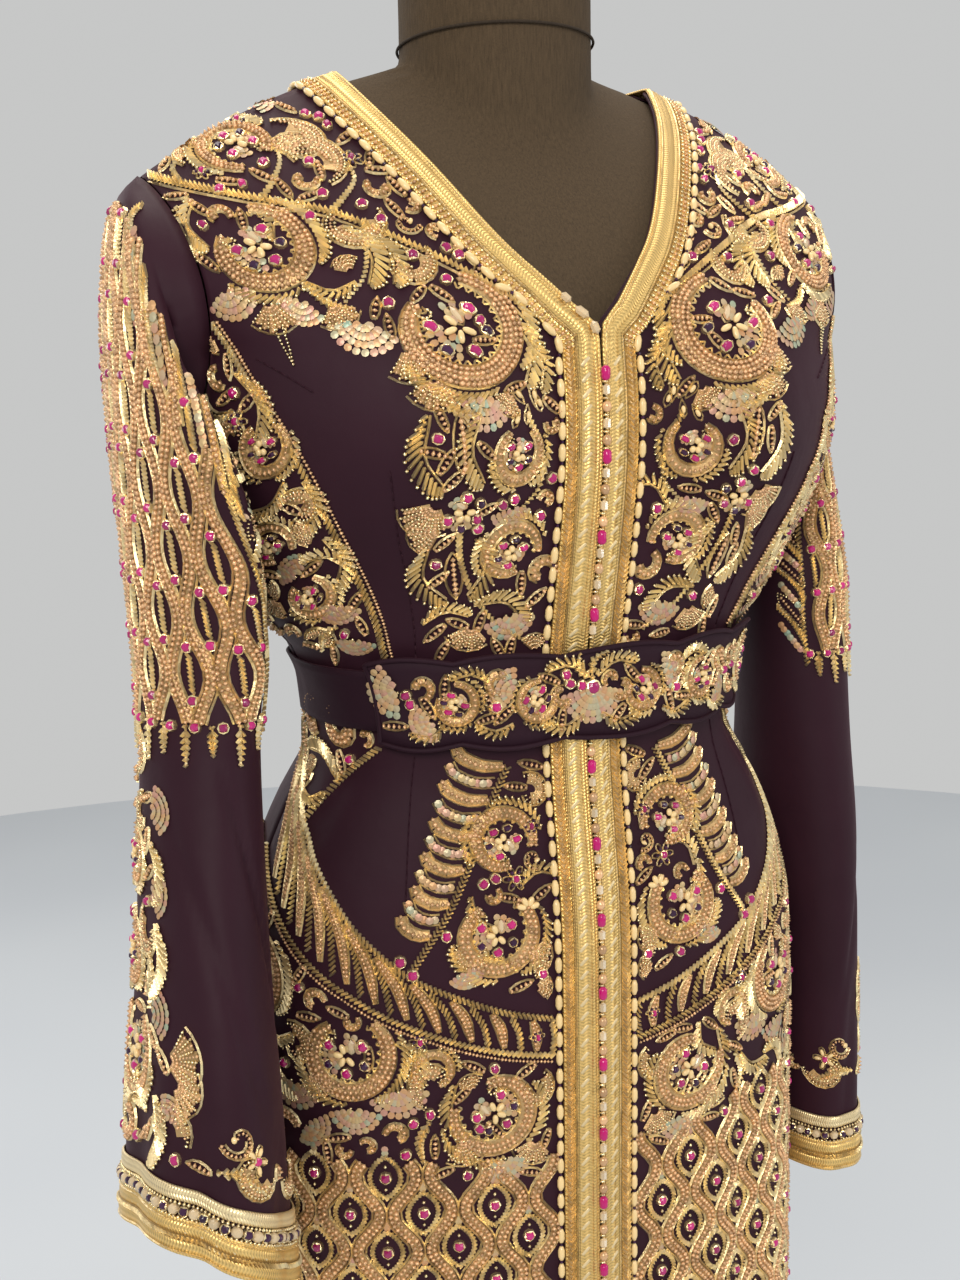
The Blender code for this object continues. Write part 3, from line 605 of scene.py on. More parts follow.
def woven_gold_finish(name, colour, rib=0.0021, column=0.0034):
    """Woven galloon: fine weft ribs in a herringbone, with warp grooves between its columns; its
    colour is painted darker in the grooves and lighter on the rib tops, as shade and highlight.
    """
    made = Finish(name, colour, 0.36, 0.75)
    dark, light = spread(colour, 0.52, 1.22)
    place = made.node("SeparateXYZ", {"Vector": made.place("UV")})
    column_way = made.maths("PINGPONG", made.maths("MULTIPLY", place.outputs["X"], 1 / column), 1.0)
    along = made.maths("MULTIPLY", place.outputs["Y"], 2 / rib)
    ribs = made.maths("PINGPONG", made.maths("ADD", along, made.maths("MULTIPLY", column_way, 1.6)),
                      1.0)
    groove = made.maths("ABSOLUTE", made.maths("SUBTRACT", column_way, 0.5))
    height = made.maths("SUBTRACT", ribs, made.maths("MULTIPLY", groove, 1.1))
    wear = made.maths("MULTIPLY", made.noise(70.0, 3.0), 0.35)
    # painted shade and highlight: the colour is darker where the weave lies low, in the grooves and
    # between ribs, and lighter on the rib tops; the noise adds uneven wear
    tone = made.maths("ADD", made.maths("MULTIPLY", height, 0.5), made.maths("ADD", wear, 0.22))
    made.to("Base Color", made.ramp(tone, [(0.05, dark), (0.42, colour), (0.80, light)]))
    return made.bump(height, 0.0005, 0.6).material


def bead_finish(name, colour, roughness, low=0.8, high=1.2, **sockets):
    """Glass or pearl whose shade varies from bead to bead."""
    made = Finish(name, colour, roughness, **sockets)
    dark, light = spread(colour, low, high)
    made.to("Base Color", made.ramp(made.island(), [(0.0, dark), (0.5, colour), (1.0, light)]))
    return made.bump(made.noise(900.0, 2.0), 0.0002, 0.3).material


def sequin_finish():
    """Discs of pale yellow, peach, pink, white and aqua."""
    made = Finish("iridescent_sequin", (0.6, 0.45, 0.3), 0.38, 0.35)
    stops = [(0.0, (0.56, 0.38, 0.15)), (0.22, (0.58, 0.31, 0.15)), (0.42, (0.58, 0.43, 0.21)),
             (0.56, (0.54, 0.27, 0.20)), (0.70, (0.55, 0.42, 0.25)), (0.88, (0.30, 0.42, 0.31)),
             (0.97, (0.37, 0.29, 0.38))]
    shade = made.blend(made.island(), 0.65, made.noise(55.0, 1.0), 0.35)
    made.to("Base Color", made.ramp(shade, stops))
    return made.bump(made.noise(700.0, 1.0), 0.0003, 0.4).material


def linen_finish(name, colour):
    """Coarse plain linen with slubs."""
    made = Finish(name, colour, 0.88, Specular_IOR_Level=0.25)
    dark, light = spread(colour, 0.75, 1.35)
    weave = made.noise(1500.0, 1.0)
    slub = made.noise(1.0, 2.0, made.scaled((900.0, 900.0, 120.0)))
    tone = made.blend(slub, 0.6, weave, 0.4)
    made.to("Base Color", made.ramp(tone, [(0.30, dark), (0.70, light)]))
    return made.bump(tone, 0.0006, 0.8).material


def wood_finish(name, colour):
    """Polished dark wood with its grain upright."""
    made = Finish(name, colour, 0.42)
    dark, light = spread(colour, 0.55, 1.3)
    grain = made.noise(1.0, 5.0, made.scaled((60.0, 9.0, 60.0)))
    made.to("Base Color", made.ramp(grain, [(0.35, dark), (0.65, light)]))
    return made.bump(grain, 0.0002, 0.4).material


def steel_finish(name, colour):
    """Powder-coated steel with a fine orange peel."""
    made = Finish(name, colour, 0.42, 0.2)
    dark, light = spread(colour, 0.85, 1.2)
    made.to("Base Color", made.ramp(made.noise(30.0, 3.0), [(0.3, dark), (0.7, light)]))
    return made.bump(made.noise(1500.0, 2.0), 0.0001, 0.4).material


PLUM = (0.028, 0.0085, 0.0150)
FINISHES = {
    "crepe": crepe_finish("plum_crepe", PLUM),
    "velvet": crepe_finish("plum_belt_cloth", (0.022, 0.008, 0.014), 0.62),
    "bugle": gold_finish("gold_bugle", (0.87, 0.69, 0.38), 0.28, 0.82),
    "seed": gold_finish("gold_seed", (0.94, 0.74, 0.42), 0.24, 0.85),
    "wire": gold_finish("gold_wire", (0.87, 0.68, 0.37), 0.30, 0.85, bite=(900.0, 0.0010)),
    "pale": woven_gold_finish("pale_braid", (0.88, 0.70, 0.40)),
    # painted shade: a dark gold for the thin lines laid along the grooves of the braids and cuffs
    "groove_shade": gold_finish("gold_shade", (0.34, 0.22, 0.08), 0.5, 0.6),
    "cord": gold_finish("deep_gold_cord", (0.84, 0.62, 0.28), 0.32, 0.8, bite=(1100.0, 0.0006)),
    "ground": gold_finish("bronze_thread", (0.50, 0.32, 0.14), 0.42, 0.6, bite=(700.0, 0.0008)),
    "woven": woven_gold_finish("woven_gold", (0.78, 0.53, 0.19)),
    "peach": bead_finish("peach_glass", (0.76, 0.455, 0.235), 0.20, 0.62, 1.25, Metallic=0.3),
    "cream": bead_finish("cream_pearl", (0.86, 0.62, 0.29), 0.30, 0.94, 1.04, Coat_Weight=0.3),
    "crystal": bead_finish("clear_crystal", (0.78, 0.60, 0.37), 0.06, 0.85, 1.1,
                           Transmission_Weight=0.25, IOR=1.6),
    "purple": bead_finish("dark_purple_glass", (0.035, 0.008, 0.035), 0.10, 0.6, 1.6),
    "pink": bead_finish("pink_rhinestone", (0.58, 0.016, 0.19), 0.05, 0.55, 1.35,
                        Transmission_Weight=0.25, IOR=1.6),
    "pink_bead": bead_finish("pink_bead", (0.52, 0.004, 0.145), 0.12, 0.9, 1.1),
    "sequin": sequin_finish(),
    "satin": bead_finish("pale_satin", (0.74, 0.58, 0.32), 0.36, 0.9, 1.08, Metallic=0.3),
    "linen": linen_finish("form_linen_cloth", (0.066, 0.043, 0.023)),
    "linen_seam": linen_finish("form_linen_seam", (0.032, 0.022, 0.014)),
    "wood": wood_finish("dark_wood", (0.10, 0.055, 0.03)),
    "steel": steel_finish("black_steel", (0.055, 0.055, 0.058)),
}


# ---------------------------------------------------------------- mesh building
def mesh_object(name, points, faces, finish, uv=None, smooth_faces=True):
    """An object from arrays of points and of faces with one count of corners."""
    points, faces = np.asarray(points, np.float32), np.asarray(faces, np.int32)
    mesh = bpy.data.meshes.new(name)
    mesh.vertices.add(len(points))
    mesh.vertices.foreach_set("co", points.ravel())
    mesh.loops.add(faces.size)
    mesh.loops.foreach_set("vertex_index", faces.ravel())
    mesh.polygons.add(len(faces))
    mesh.polygons.foreach_set("loop_start", np.arange(len(faces), dtype=np.int32) * faces.shape[1])
    mesh.polygons.foreach_set("use_smooth", np.full(len(faces), smooth_faces))
    if uv is not None:
        layer = mesh.uv_layers.new(name="UVMap")
        layer.data.foreach_set("uv", np.asarray(uv, np.float32)[faces.ravel()].ravel())
    mesh.update(calc_edges=True)
    mesh.validate()
    mesh.materials.append(finish)
    thing = bpy.data.objects.new(name, mesh)
    bpy.context.scene.collection.objects.link(thing)
    return thing


def grid_faces(rows, columns, closed=False, flip=False):
    """Quads over rows of points."""
    r, c = np.meshgrid(np.arange(rows - 1), np.arange(columns if closed else columns - 1),
                       indexing="ij")
    d = (c + 1) % columns
    faces = np.stack([r * columns + c, r * columns + d, (r + 1) * columns + d,
                      (r + 1) * columns + c], axis=-1).reshape(-1, 4)
    return faces[:, ::-1] if flip else faces


def shell(name, grid, wall, finish, closed=False, flip=False, uv=None):
    """A thin cloth shell whose inner face is the grid."""
    rows, columns = grid.shape[:2]
    faces = grid_faces(rows, columns, closed, flip)
    thing = mesh_object(name, grid.reshape(-1, 3), faces, finish, uv)
    solid = thing.modifiers.new("wall", "SOLIDIFY")
    solid.thickness = wall
    solid.offset = 1
    return thing


def put(thing, slot, *nodes):
    """Rides on the part's one body and stands for its nodes."""
    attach(thing, "root")
    if nodes:
        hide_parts(*nodes)
    return thing


# ---------------------------------------------------------------- cloth pieces
SIDES = ((-1, "right"), (1, "left"))
sleeves = {}
for side, word in SIDES:
    put(shell("front_cloth_" + word, front_grid(side), CLOTH,
                                       FINISHES["crepe"]), "crepe", "front_" + word)
    sleeves[side] = sleeve_grid(side)
    put(shell("sleeve_cloth_" + word, sleeves[side], CLOTH,
                                        FINISHES["crepe"], closed=True, flip=side < 0),
                                  "crepe", "sleeve_" + word)
put(shell("back_cloth", back_grid(), CLOTH, FINISHES["crepe"]), "crepe", "back")


# ---------------------------------------------------------------- beads and threads
def turned_bead(sides, rings, first=0.0):
    """A closed bead along X, one long, from its rings' places and radii; its ends are points."""
    points = [(-0.5, 0, 0)]
    for x, radius in rings:
        for turn in math.radians(first) + 2 * np.pi * np.arange(sides) / sides:
            points.append((x, radius * math.cos(turn), radius * math.sin(turn)))
    points.append((0.5, 0, 0))
    faces = []
    last = len(points) - 1
    for i in range(sides):
        j = (i + 1) % sides
        faces.append((0, 1 + j, 1 + i))
        for ring in range(len(rings) - 1):
            a, b = 1 + ring * sides, 1 + (ring + 1) * sides
            faces += [(a + i, a + j, b + j), (a + i, b + j, b + i)]
        end = last - sides
        faces.append((last, end + i, end + j))
    return np.array(points, float), np.array(faces)


def prism():
    """A short straight length of wire with a ridge on top, closed at its ends."""
    corners = [(math.cos(t) * 0.56, math.sin(t) * 0.56) for t in np.radians((90, 210, 330))]
    points = [(x, y, z) for x in (-0.53, 0.53) for y, z in corners]
    faces = [(0, 2, 1), (3, 4, 5)]
    for i in range(3):
        j = (i + 1) % 3
        faces += [(i, j, 3 + j), (i, 3 + j, 3 + i)]
    return np.array(points), np.array(faces)


def sequin():
    """A thin round disc lying flat, closed above and below."""
    turns = 2 * np.pi * np.arange(8) / 8
    rim = [(0.5 * math.cos(t), 0.5 * math.sin(t), 0.0) for t in turns]
    points = np.array([(0, 0, 0.35), *rim, (0, 0, -0.35)])
    faces = [(0, 1 + i, 1 + (i + 1) % 8) for i in range(8)]
    faces += [(9, 1 + (i + 1) % 8, 1 + i) for i in range(8)]
    return points, np.array(faces)


def cut_stone(sides=7):
    """A brilliant-cut stone, flat underneath, with a table and two rows of facets."""
    rings = ((0.50, -0.5), (0.50, -0.05), (0.40, 0.28), (0.24, 0.5))
    points, faces = [], []
    for k, (radius, height) in enumerate(rings):
        for i in range(sides):
            turn = 2 * np.pi * (i + 0.5 * (k % 2)) / sides
            points.append((radius * math.cos(turn), radius * math.sin(turn), height))
    for k in range(len(rings) - 1):
        for i in range(sides):
            a, b = k * sides, (k + 1) * sides
            j = (i + 1) % sides
            if k % 2 == 0:
                faces += [(a + i, a + j, b + i), (a + j, b + j, b + i)]
            else:
                faces += [(a + i, a + j, b + j), (a + i, b + j, b + i)]
    top = (len(rings) - 1) * sides
    faces += [(top, top + i, top + i + 1) for i in range(1, sides - 1)]
    faces += [(0, i + 1, i) for i in range(1, sides - 1)]
    return np.array(points), np.array(faces)


def claw_cup(sides=8):
    """The metal cup under a stone, with four claws that reach over its edge."""
    points, faces = [], []
    for i in range(sides):
        turn = 2 * np.pi * i / sides
        claw = i % 2 == 0
        across = (math.cos(turn), math.sin(turn))
        for radius, height in ((0.66, -0.55), (0.60, 0.25 if claw else 0.02),
                               (0.42 if claw else 0.52, 0.44 if claw else 0.0), (0.52, -0.5)):
            points.append((radius * across[0], radius * across[1], height))
    for i in range(sides):
        j = (i + 1) % sides
        for k in range(4):
            m = (k + 1) % 4
            a, b, c, d = 4 * i + k, 4 * j + k, 4 * j + m, 4 * i + m
            faces += [(a, b, c), (a, c, d)]
    return np.array(points), np.array(faces)


# Rings of the beads: place along the bead and radius, as shares of its length and width.
BARREL = ((-0.40, 0.56), (0.40, 0.56))
BICONE = ((0.0, 0.56),)
FACETED = ((-0.28, 0.42), (0.28, 0.42))
ROUND = ((-0.35, 0.36), (0, 0.5), (0.35, 0.36))
TEMPLATES = {               # shape, finish, and whether it is shaded smooth
    "bugle": (turned_bead(3, BARREL, 90), "bugle", False),
    "cord": (turned_bead(3, BARREL, 90), "cord", False),
    "wire": (prism(), "wire", False),
    "seam": (prism(), "crepe", True),
    # line threads are dark gold, painted shade along the grooves of the braids and cuffs
    "line": (prism(), "groove_shade", False),
    "bed": (prism(), "ground", False),
    "seed": (turned_bead(4, BICONE), "seed", True),
    "peach": (turned_bead(4, BICONE), "peach", True),
    "peach_round": (turned_bead(8, ROUND), "peach", True),
    "clear_round": (turned_bead(7, ((-0.33, 0.38), (0.33, 0.38))), "crystal", False),
    "oval": (turned_bead(7, ((-0.43, 0.28), (-0.20, 0.47), (0.20, 0.47), (0.43, 0.28))), "cream",
             True),
    "button": (turned_bead(12, ((-0.46, 0.24), (-0.30, 0.43), (0.30, 0.43), (0.46, 0.24))),
               "pink_bead", True),
    "satin_bar": (turned_bead(6, ((-0.34, 0.40), (0.34, 0.40))), "satin", True),
    "crystal": (turned_bead(6, FACETED), "crystal", False),
    "purple": (turned_bead(6, FACETED), "purple", False),
    "navette": (turned_bead(6, ((-0.2, 0.40), (0.2, 0.40))), "crystal", False),
    "sequin": (sequin(), "sequin", False),
    "stone": (cut_stone(), "pink", False),
    "clear": (cut_stone(), "crystal", False),
    "dark": (cut_stone(), "purple", False),
    "cup": (claw_cup(), "seed", False),
}
SLOTS = {                   # of the finishes that aren't embroidery
    "crepe": "crepe", "groove_shade": "gold_braid", "cord": "gold_braid", "satin": "gold_braid",
    "pink": "pink_stone", "pink_bead": "pink_stone",
}
marks = {}


def add(zone, kind, middle, along, across, high):
    """Notes copies of a bead; along, across and high are full sizes as vectors."""
    marks.setdefault((zone, kind), []).append(
        np.stack(np.broadcast_arrays(middle, along, across, high), axis=1))


def flush(replaced):
    """One joined mesh for each zone and kind of bead; some stand in for nodes."""
    for (zone, kind), blocks in sorted(marks.items()):
        (shape, faces), finish, rounded = TEMPLATES[kind]
        at = np.concatenate(blocks)
        points = at[:, 0][:, None] + np.einsum("pk,nkd->npd", shape, at[:, 1:4])
        count = len(at)
        corners = faces[None] + (np.arange(count) * len(shape))[:, None, None]
        thing = mesh_object(zone + "_" + kind, points.reshape(-1, 3), corners.reshape(-1, 3),
                            FINISHES[finish], smooth_faces=rounded)
        put(thing, SLOTS.get(finish, "embroidery"), *replaced.get(thing.name, ()))


# ---------------------------------------------------------------- lines in a motif's own metres
def curve(points, count=60):
    """A smooth line through a few points."""
    points = np.asarray(points, float)
    ends = np.concatenate([[2 * points[0] - points[1]], points, [2 * points[-1] - points[-2]]])
    line = []
    for i in range(len(points) - 1):
        a, b, c, d = ends[i:i + 4]
        t = np.linspace(0, 1, max(4, count // (len(points) - 1)), endpoint=False)[:, None]
        line.append(0.5 * (2 * b + (c - a) * t + (2 * a - 5 * b + 4 * c - d) * t**2
                           + (3 * b - a - 3 * c + d) * t**3))
    return np.concatenate(line + [points[-1:]])


def spiral(start, sweep, outer, inner, middle=(0, 0), count=60, ease=1.0):
    """An arc whose radius runs from outer to inner; angles in degrees from +x."""
    share = np.linspace(0, 1, count)
    turn = np.radians(start + sweep * share)
    radius = outer + (inner - outer) * share ** ease
    return np.array(middle) + radius[:, None] * rays(turn)


def left_of(heading):
    """Directions a quarter turn to the left."""
    return paired(-heading[:, 1], heading[:, 0])


def beside(line, distance):
    """The line moved to its left; the distance may be an array along it."""
    line = np.asarray(line, float)
    heading = unit(np.gradient(line, axis=0))
    return line + left_of(heading) * np.broadcast_to(distance, (len(line),))[:, None]


def drop(middle, turn, long, wide, pointed=False, count=22):
    """Outline of a drop or a pointed oval."""
    t = np.linspace(0, 2 * np.pi, count)
    x = -np.cos(t) * long / 2
    y = np.sin(t) * wide / 2 * (np.abs(np.sin(t)) ** 0.6 if pointed else np.sin(t / 2) ** 0.9)
    c, s = toward(turn)
    return paired(middle[0] + x * c - y * s, middle[1] + x * s + y * c)


BEAD = 0.0032               # size of the round beads that fill a scroll
CHAIN_PITCH = 0.0021        # of the beads of a chain
THREADS = ("wire", "seam", "line")          # kinds that a chain lays as straight pieces
THREAD_LONG, THREAD_BEND = 0.0056, 0.50     # the most a piece spans, in metres and in radians
UNEVEN = np.random.default_rng(41)


def leaning(heading, degrees):
    """Directions turned to the left of the heading."""
    turn = math.radians(degrees)
    return heading * math.cos(turn) + left_of(heading) * math.sin(turn)


class Pen:
    """Draws motifs at one place of a sheet, in the motif's own metres."""

    def __init__(self, sheet, zone, u=0.0, v=0.0, turn=0.0, side=1, size=1.0, mirror=1, lift=0.0):
        self.sheet, self.zone, self.side, self.lift = sheet, zone, side, lift
        self.u, self.v, self.size, self.mirror = u, v, size, mirror
        self.cos, self.sin = toward(turn)
        self.squeeze = 1 / sheet.stretch(side * u, v) if u or v else 1.0

    def spot(self, xy):
        """Sheet coordinates of points."""
        x, y = xy[..., 0] * self.size, xy[..., 1] * self.size * self.mirror
        return (self.side * (self.u + x * self.cos - y * self.sin),
                self.v + (x * self.sin + y * self.cos) * self.squeeze)

    def spaced(self, line, pitch):
        """Points at an even pitch on the cloth along a line, their directions, and shares."""
        line = np.asarray(line, float)
        run = length_along(self.sheet.at(*self.spot(line))[0])
        count = max(2, int(round(run[-1] / pitch)) + 1)
        here = np.linspace(0, run[-1], count)
        points = read_at(here, run, line)
        return points, unit(np.gradient(points, axis=0)), here / max(run[-1], 1e-9)

    def bars(self, kind, start, end, wide, high=None, lift=0.0):
        """Beads that run from start to end."""
        wide = np.broadcast_to(wide, (len(start),))[:, None]
        high = wide if high is None else np.broadcast_to(high, (len(start),))[:, None]
        lift = np.broadcast_to(lift, (len(start),))[:, None]
        first, _, _, out = self.sheet.at(*self.spot(start))
        last = self.sheet.at(*self.spot(end))[0]
        along = last - first
        across = unit(np.cross(out, along))
        middle = (first + last) / 2 + out * (high / 2 + lift + self.lift)
        add(self.zone, kind, middle, along, across * wide, out * high)
        for share in (0.1, 0.5, 0.9):
            self.sheet.take(*self.spot(start * (1 - share) + end * share))

    def dots(self, kind, points, wide, high=None, lift=0.0, heading=(1, 0), long=None):
        """Beads that are centred on points."""
        points = np.atleast_2d(points)
        heading = np.broadcast_to(heading, points.shape)
        long = wide if long is None else long
        half = heading * (np.broadcast_to(long, (len(points),)) / 2)[:, None]
        self.bars(kind, points - half, points + half, wide, high, lift)

    def chain(self, line, wide=0.0013, pitch=None, kind="wire"):
        """A thin couched thread in straight pieces, or close beads if another kind is named."""
        if kind not in THREADS:
            points, heading, _ = self.spaced(line, pitch or CHAIN_PITCH)
            self.dots(kind, points, wide, heading=heading, long=(pitch or CHAIN_PITCH) * 1.05)
            return
        line = np.asarray(line, float)
        steps = np.diff(line, axis=0)
        turns = np.unwrap(np.arctan2(steps[:, 1], steps[:, 0]))
        bend = np.abs(np.diff(turns)).sum() if len(turns) > 1 else 0.0
        run = np.linalg.norm(steps, axis=1).sum() * self.size
        parts = max(1, int(round(max(run / THREAD_LONG, bend / THREAD_BEND))))
        points, _, _ = self.spaced(line, run / parts)
        self.bars(kind, points[:-1], points[1:], wide)

    def bed(self, line, width, pitch=0.0046):
        """A low ground of thread under rows of beads, so that no cloth shows between them."""
        points, _, share = self.spaced(line, pitch)
        middle = (share[1:] + share[:-1]) / 2
        wide = np.interp(middle, np.linspace(0, 1, len(line)), np.broadcast_to(width, len(line)))
        self.bars("bed", points[:-1], points[1:], wide * self.size, 0.0015)

    def beads(self, line, wide=0.0021, kind="peach"):
        """A row of round beads, a little uneven in size."""
        points, heading, _ = self.spaced(line, wide * 1.02)
        wide = wide * UNEVEN.uniform(0.90, 1.10, len(points))
        self.dots(kind, points, wide, heading=heading, long=wide)

    def rope(self, line, wide=0.0045, pitch=0.0031, lean=50, thick=0.0021, taper=0.0, hand=1,
             kind="bugle"):
        """A twisted cord: slanted bugles laid side by side across the line."""
        points, heading, share = self.spaced(line, pitch)
        width = wide * (1 - taper * share)
        half = leaning(heading, lean * hand) * (width / math.sin(math.radians(lean)) / 2)[:, None]
        self.bars(kind, points - half, points + half, thick, np.minimum(width * 0.7, 0.0026))

    def feather(self, line, widest=0.0100, pitch=0.0034, lean=44, hand=1, tips=True,
                round_end=0.25):
        """A comb leaf: slanted bars on one side of a line, each with a round bead at its end."""
        points, heading, share = self.spaced(line, pitch)
        swell = np.clip(share / 0.12, 0.45, 1) * np.clip((1.03 - share) / round_end, 0.15, 1) ** 0.6
        reach = leaning(heading, lean * hand) * (widest * swell)[:, None]
        self.bars("bugle", points, points + reach, 0.0024, 0.0026)
        if tips:
            self.dots("seed", points + reach * 1.05, 0.0026, heading=heading)

    def scroll(self, line, wide=0.0105, teeth=0.0, ends=(0.22, 0.22)):
        """A band of beads between two chains, pinched at its ends."""
        share = np.linspace(0, 1, len(line))
        swell = np.sin(np.pi * (ends[0] * 0.5 + (1 - sum(ends) * 0.5) * share))
        width = wide * np.clip(swell, 0.2, 1) ** 0.6
        for hand in (1, -1):
            self.chain(beside(line, hand * width / 2), 0.0016)
        self.bed(line, width)
        gap = BEAD * 0.98 / self.size
        rows = max(1, int((wide - 0.0014 / self.size) / gap))
        for k in range(rows):
            offset = (k - (rows - 1) / 2) * gap
            inside = np.abs(offset) < width / 2 - 0.0006
            if inside.sum() > 3:
                self.beads(beside(line, offset)[inside], BEAD)
        if teeth:
            points, heading, _ = self.spaced(beside(line, width / 2), 0.0060)
            for hand in (-1, 1):
                self.bars("bugle", points + heading * 0.0018 * hand,
                          points + left_of(heading) * teeth, 0.0013)

    def fan(self, middle, start, sweep, inner, outer, ribs=9, tip=0.0012):
        """A ribbed fan of bead rows with a toothed edge."""
        turns = np.radians(np.linspace(start, start + sweep, ribs))
        gap = abs(turns[1] - turns[0])
        for k, turn in enumerate(turns):
            way = np.array((math.cos(turn), math.sin(turn)))
            reach = outer + tip * (k % 3 - 1)
            first = inner if k % 2 == 0 else inner + (outer - inner) * 0.35
            ray = np.array(middle) + np.array([way * first, way * reach])
            if k % 2 == 0:
                self.bars("bed", ray[:1], ray[1:], reach * gap * 1.9 * self.size, 0.0014)
            self.chain(ray, 0.0021, 0.0023, "seed" if k % 2 else "peach")

    def sequins(self, middle, start, sweep, reach, rows=4, wide=0.0046, inner=0.0035):
        """Petals of overlapping discs, with a scalloped outer edge."""
        petals = max(3, int(abs(math.radians(sweep)) * reach / (wide * 0.86)) + 1)
        turns = np.radians(np.linspace(start, start + sweep, petals))
        ways = rays(turns)
        for k in range(rows):
            radius = reach - k * (reach - inner) / max(rows - 1, 1)
            pick = slice(None) if radius * petals > wide * petals * 1.6 else slice(0, None, 2)
            points = np.array(middle) + radius * ways[pick]
            self.dots("sequin", points, wide, 0.0009, 0.0002 + k * 0.0005, heading=ways[pick])

    def discs(self, line, wide=0.0048, pitch=0.0034):
        """A row of sequins that stand a little over one another."""
        points, heading, _ = self.spaced(line, pitch)
        self.dots("sequin", points, wide, 0.0013, 0.0009 * (np.arange(len(points)) % 2),
                  heading=heading)

    def stone(self, xy, wide=0.0062, kind="stone"):
        """A cut stone in its claw cup."""
        self.dots("cup", xy, wide, 0.0034)
        self.dots(kind, xy, wide * 0.98, 0.0036, 0.0004)

    def navette(self, xy, turn=0.0, long=0.011, wide=0.0055):
        """A long clear stone with a wire round it."""
        self.dots("navette", xy, wide, 0.003, heading=toward(turn), long=long)
        self.chain(drop(xy, turn, long * 1.12, wide * 1.25, pointed=True), 0.0011, 0.0016)

    def loop(self, base, turn, long=0.012, wide=0.006, fill="oval"):
        """A drop-shaped loop of chain with a bead in it."""
        way = toward(turn)
        self.chain(drop(np.asarray(base) + way * long / 2, turn, long, wide), 0.0010, 0.0016)
        bead_wide, bead_long = (0.0028, 0.0058) if fill == "oval" else (0.0026, 0.0028)
        self.dots(fill, np.asarray(base) + way * long * 0.55, bead_wide, heading=way,
                  long=bead_long)

    def blossom(self, middle, start=0.0, sweep=150, count=4, reach=0.0062):
        """Cream oval petals fanned round a point."""
        turns = np.radians(start + sweep * (np.arange(count) / max(count - 1, 1) - 0.5))
        way = rays(turns)
        foot = 0.0012
        self.bars("oval", np.array(middle) + way * foot, np.array(middle) + way * (foot + reach),
                  0.0040, 0.0034, 0.0008)

    # ------------------------------------------------------------ composite motifs
    def local(self, u, v, turn=0.0, size=1.0, mirror=1):
        """A pen at another place of the same sheet."""
        return Pen(self.sheet, self.zone, u, v, turn, self.side, size, mirror, self.lift)

    def jewels(self, wide=0.016, stones=3, start=90):
        """Heart of a scroll: pink stones, purple beads, a cream blossom and a clear navette."""
        turns = np.radians(start + 360 / stones * np.arange(stones))
        way = rays(turns)
        self.sequins((0, -wide * 0.1), start + 150, 100, wide * 0.62, 3, 0.0042)
        self.sequins((0, wide * 0.05), start - 60, 70, wide * 0.60, 3, 0.0042)
        self.stone(way * wide * 0.62, 0.0060)
        self.blossom((0, 0), start=start + 180, sweep=200, count=4, reach=wide * 0.34)
        self.navette((wide * 0.18, wide * 0.30), start - 60, wide * 0.50, wide * 0.26)
        spots = rays(turns + math.pi / stones) * wide * 0.66
        self.stone(spots[:2], 0.0054, "dark")

    def ring_scroll(self, radius=0.030, start=70, sweep=290, wide=0.0105, heart=True):
        """A C-scroll filled with beads, with comb leaves outside and a jewelled heart."""
        line = spiral(start, sweep, radius - wide / 2, radius * 0.62, ease=1.4, count=80)
        self.scroll(line, wide, 0.0026 if radius * self.size > 0.02 else 0)
        end, way = line[-1], line[-1] / np.linalg.norm(line[-1])
        self.beads(spiral(start + sweep + 10, -260, wide * 0.52, 0.0010, end - way * wide * 0.45),
                   0.0023, "seed")
        for first, last in ((6, 30), (38, 60)):
            outside = beside(line[first:last], -wide / 2 - 0.0016)
            self.feather(outside, radius * 0.27, hand=-1, lean=38)
        if heart:
            self.jewels(radius * 0.60)

    def leaf(self, long=0.032, wide=0.010, bend=0.005):
        """A pointed leaf of slanted bars on both sides of a stem, along +x."""
        line = curve([(0, 0), (long * 0.5, bend), (long, 0)])
        for hand in (1, -1):
            self.feather(line, wide / 2, hand=hand, tips=False, round_end=0.6)
        self.chain(line, 0.0016)

    def half_leaf(self, long=0.040, wide=0.0105, bend=0.009, hand=1):
        """A comb leaf on a curved stem of beads."""
        line = curve([(0, 0), (long * 0.5, bend), (long, bend * 0.2)])
        self.feather(line, wide, hand=hand)
        self.chain(beside(line, -0.0012 * hand), 0.0018)

    def ribbed(self, reach=0.016, spread=110, tail=0.0):
        """A ribbed fan facing +x, with a chain round its edge and a pointed tail if asked."""
        self.fan((0, 0), -spread / 2, spread, 0.0030, reach, max(7, int(spread * reach * 8)))
        self.chain(spiral(-spread / 2, spread, reach + 0.0028, reach + 0.0028), 0.0014)
        if tail:
            for hand in (-1, 1):
                line = curve([(reach, 0.0025 * hand), (reach + tail * 0.5, 0.0016 * hand),
                              (reach + tail, 0)])
                self.chain(line, 0.0018, 0.0021, "seed")

    def shells(self, reach=0.016, spread=140, rows=4):
        """A fan of overlapping sequins facing +x, with seeds at its foot."""
        self.sequins((0, 0), -spread / 2, spread, reach, rows)
        self.beads(spiral(-90, 180, 0.0026, 0.0026), 0.0022, "seed")

    def tendril(self, reach=0.014, sweep=330, start=180):
        """A thin curl of chain and seeds with a bead at its end."""
        line = spiral(start, sweep, reach, reach * 0.25, (reach, 0))
        self.chain(line, 0.0015)
        self.beads(beside(line, 0.0021), 0.0023, "peach")
        self.chain(beside(line, 0.0042)[: len(line) // 2], 0.0015)
        self.dots("oval", line[-1:], 0.0040, 0.0034)

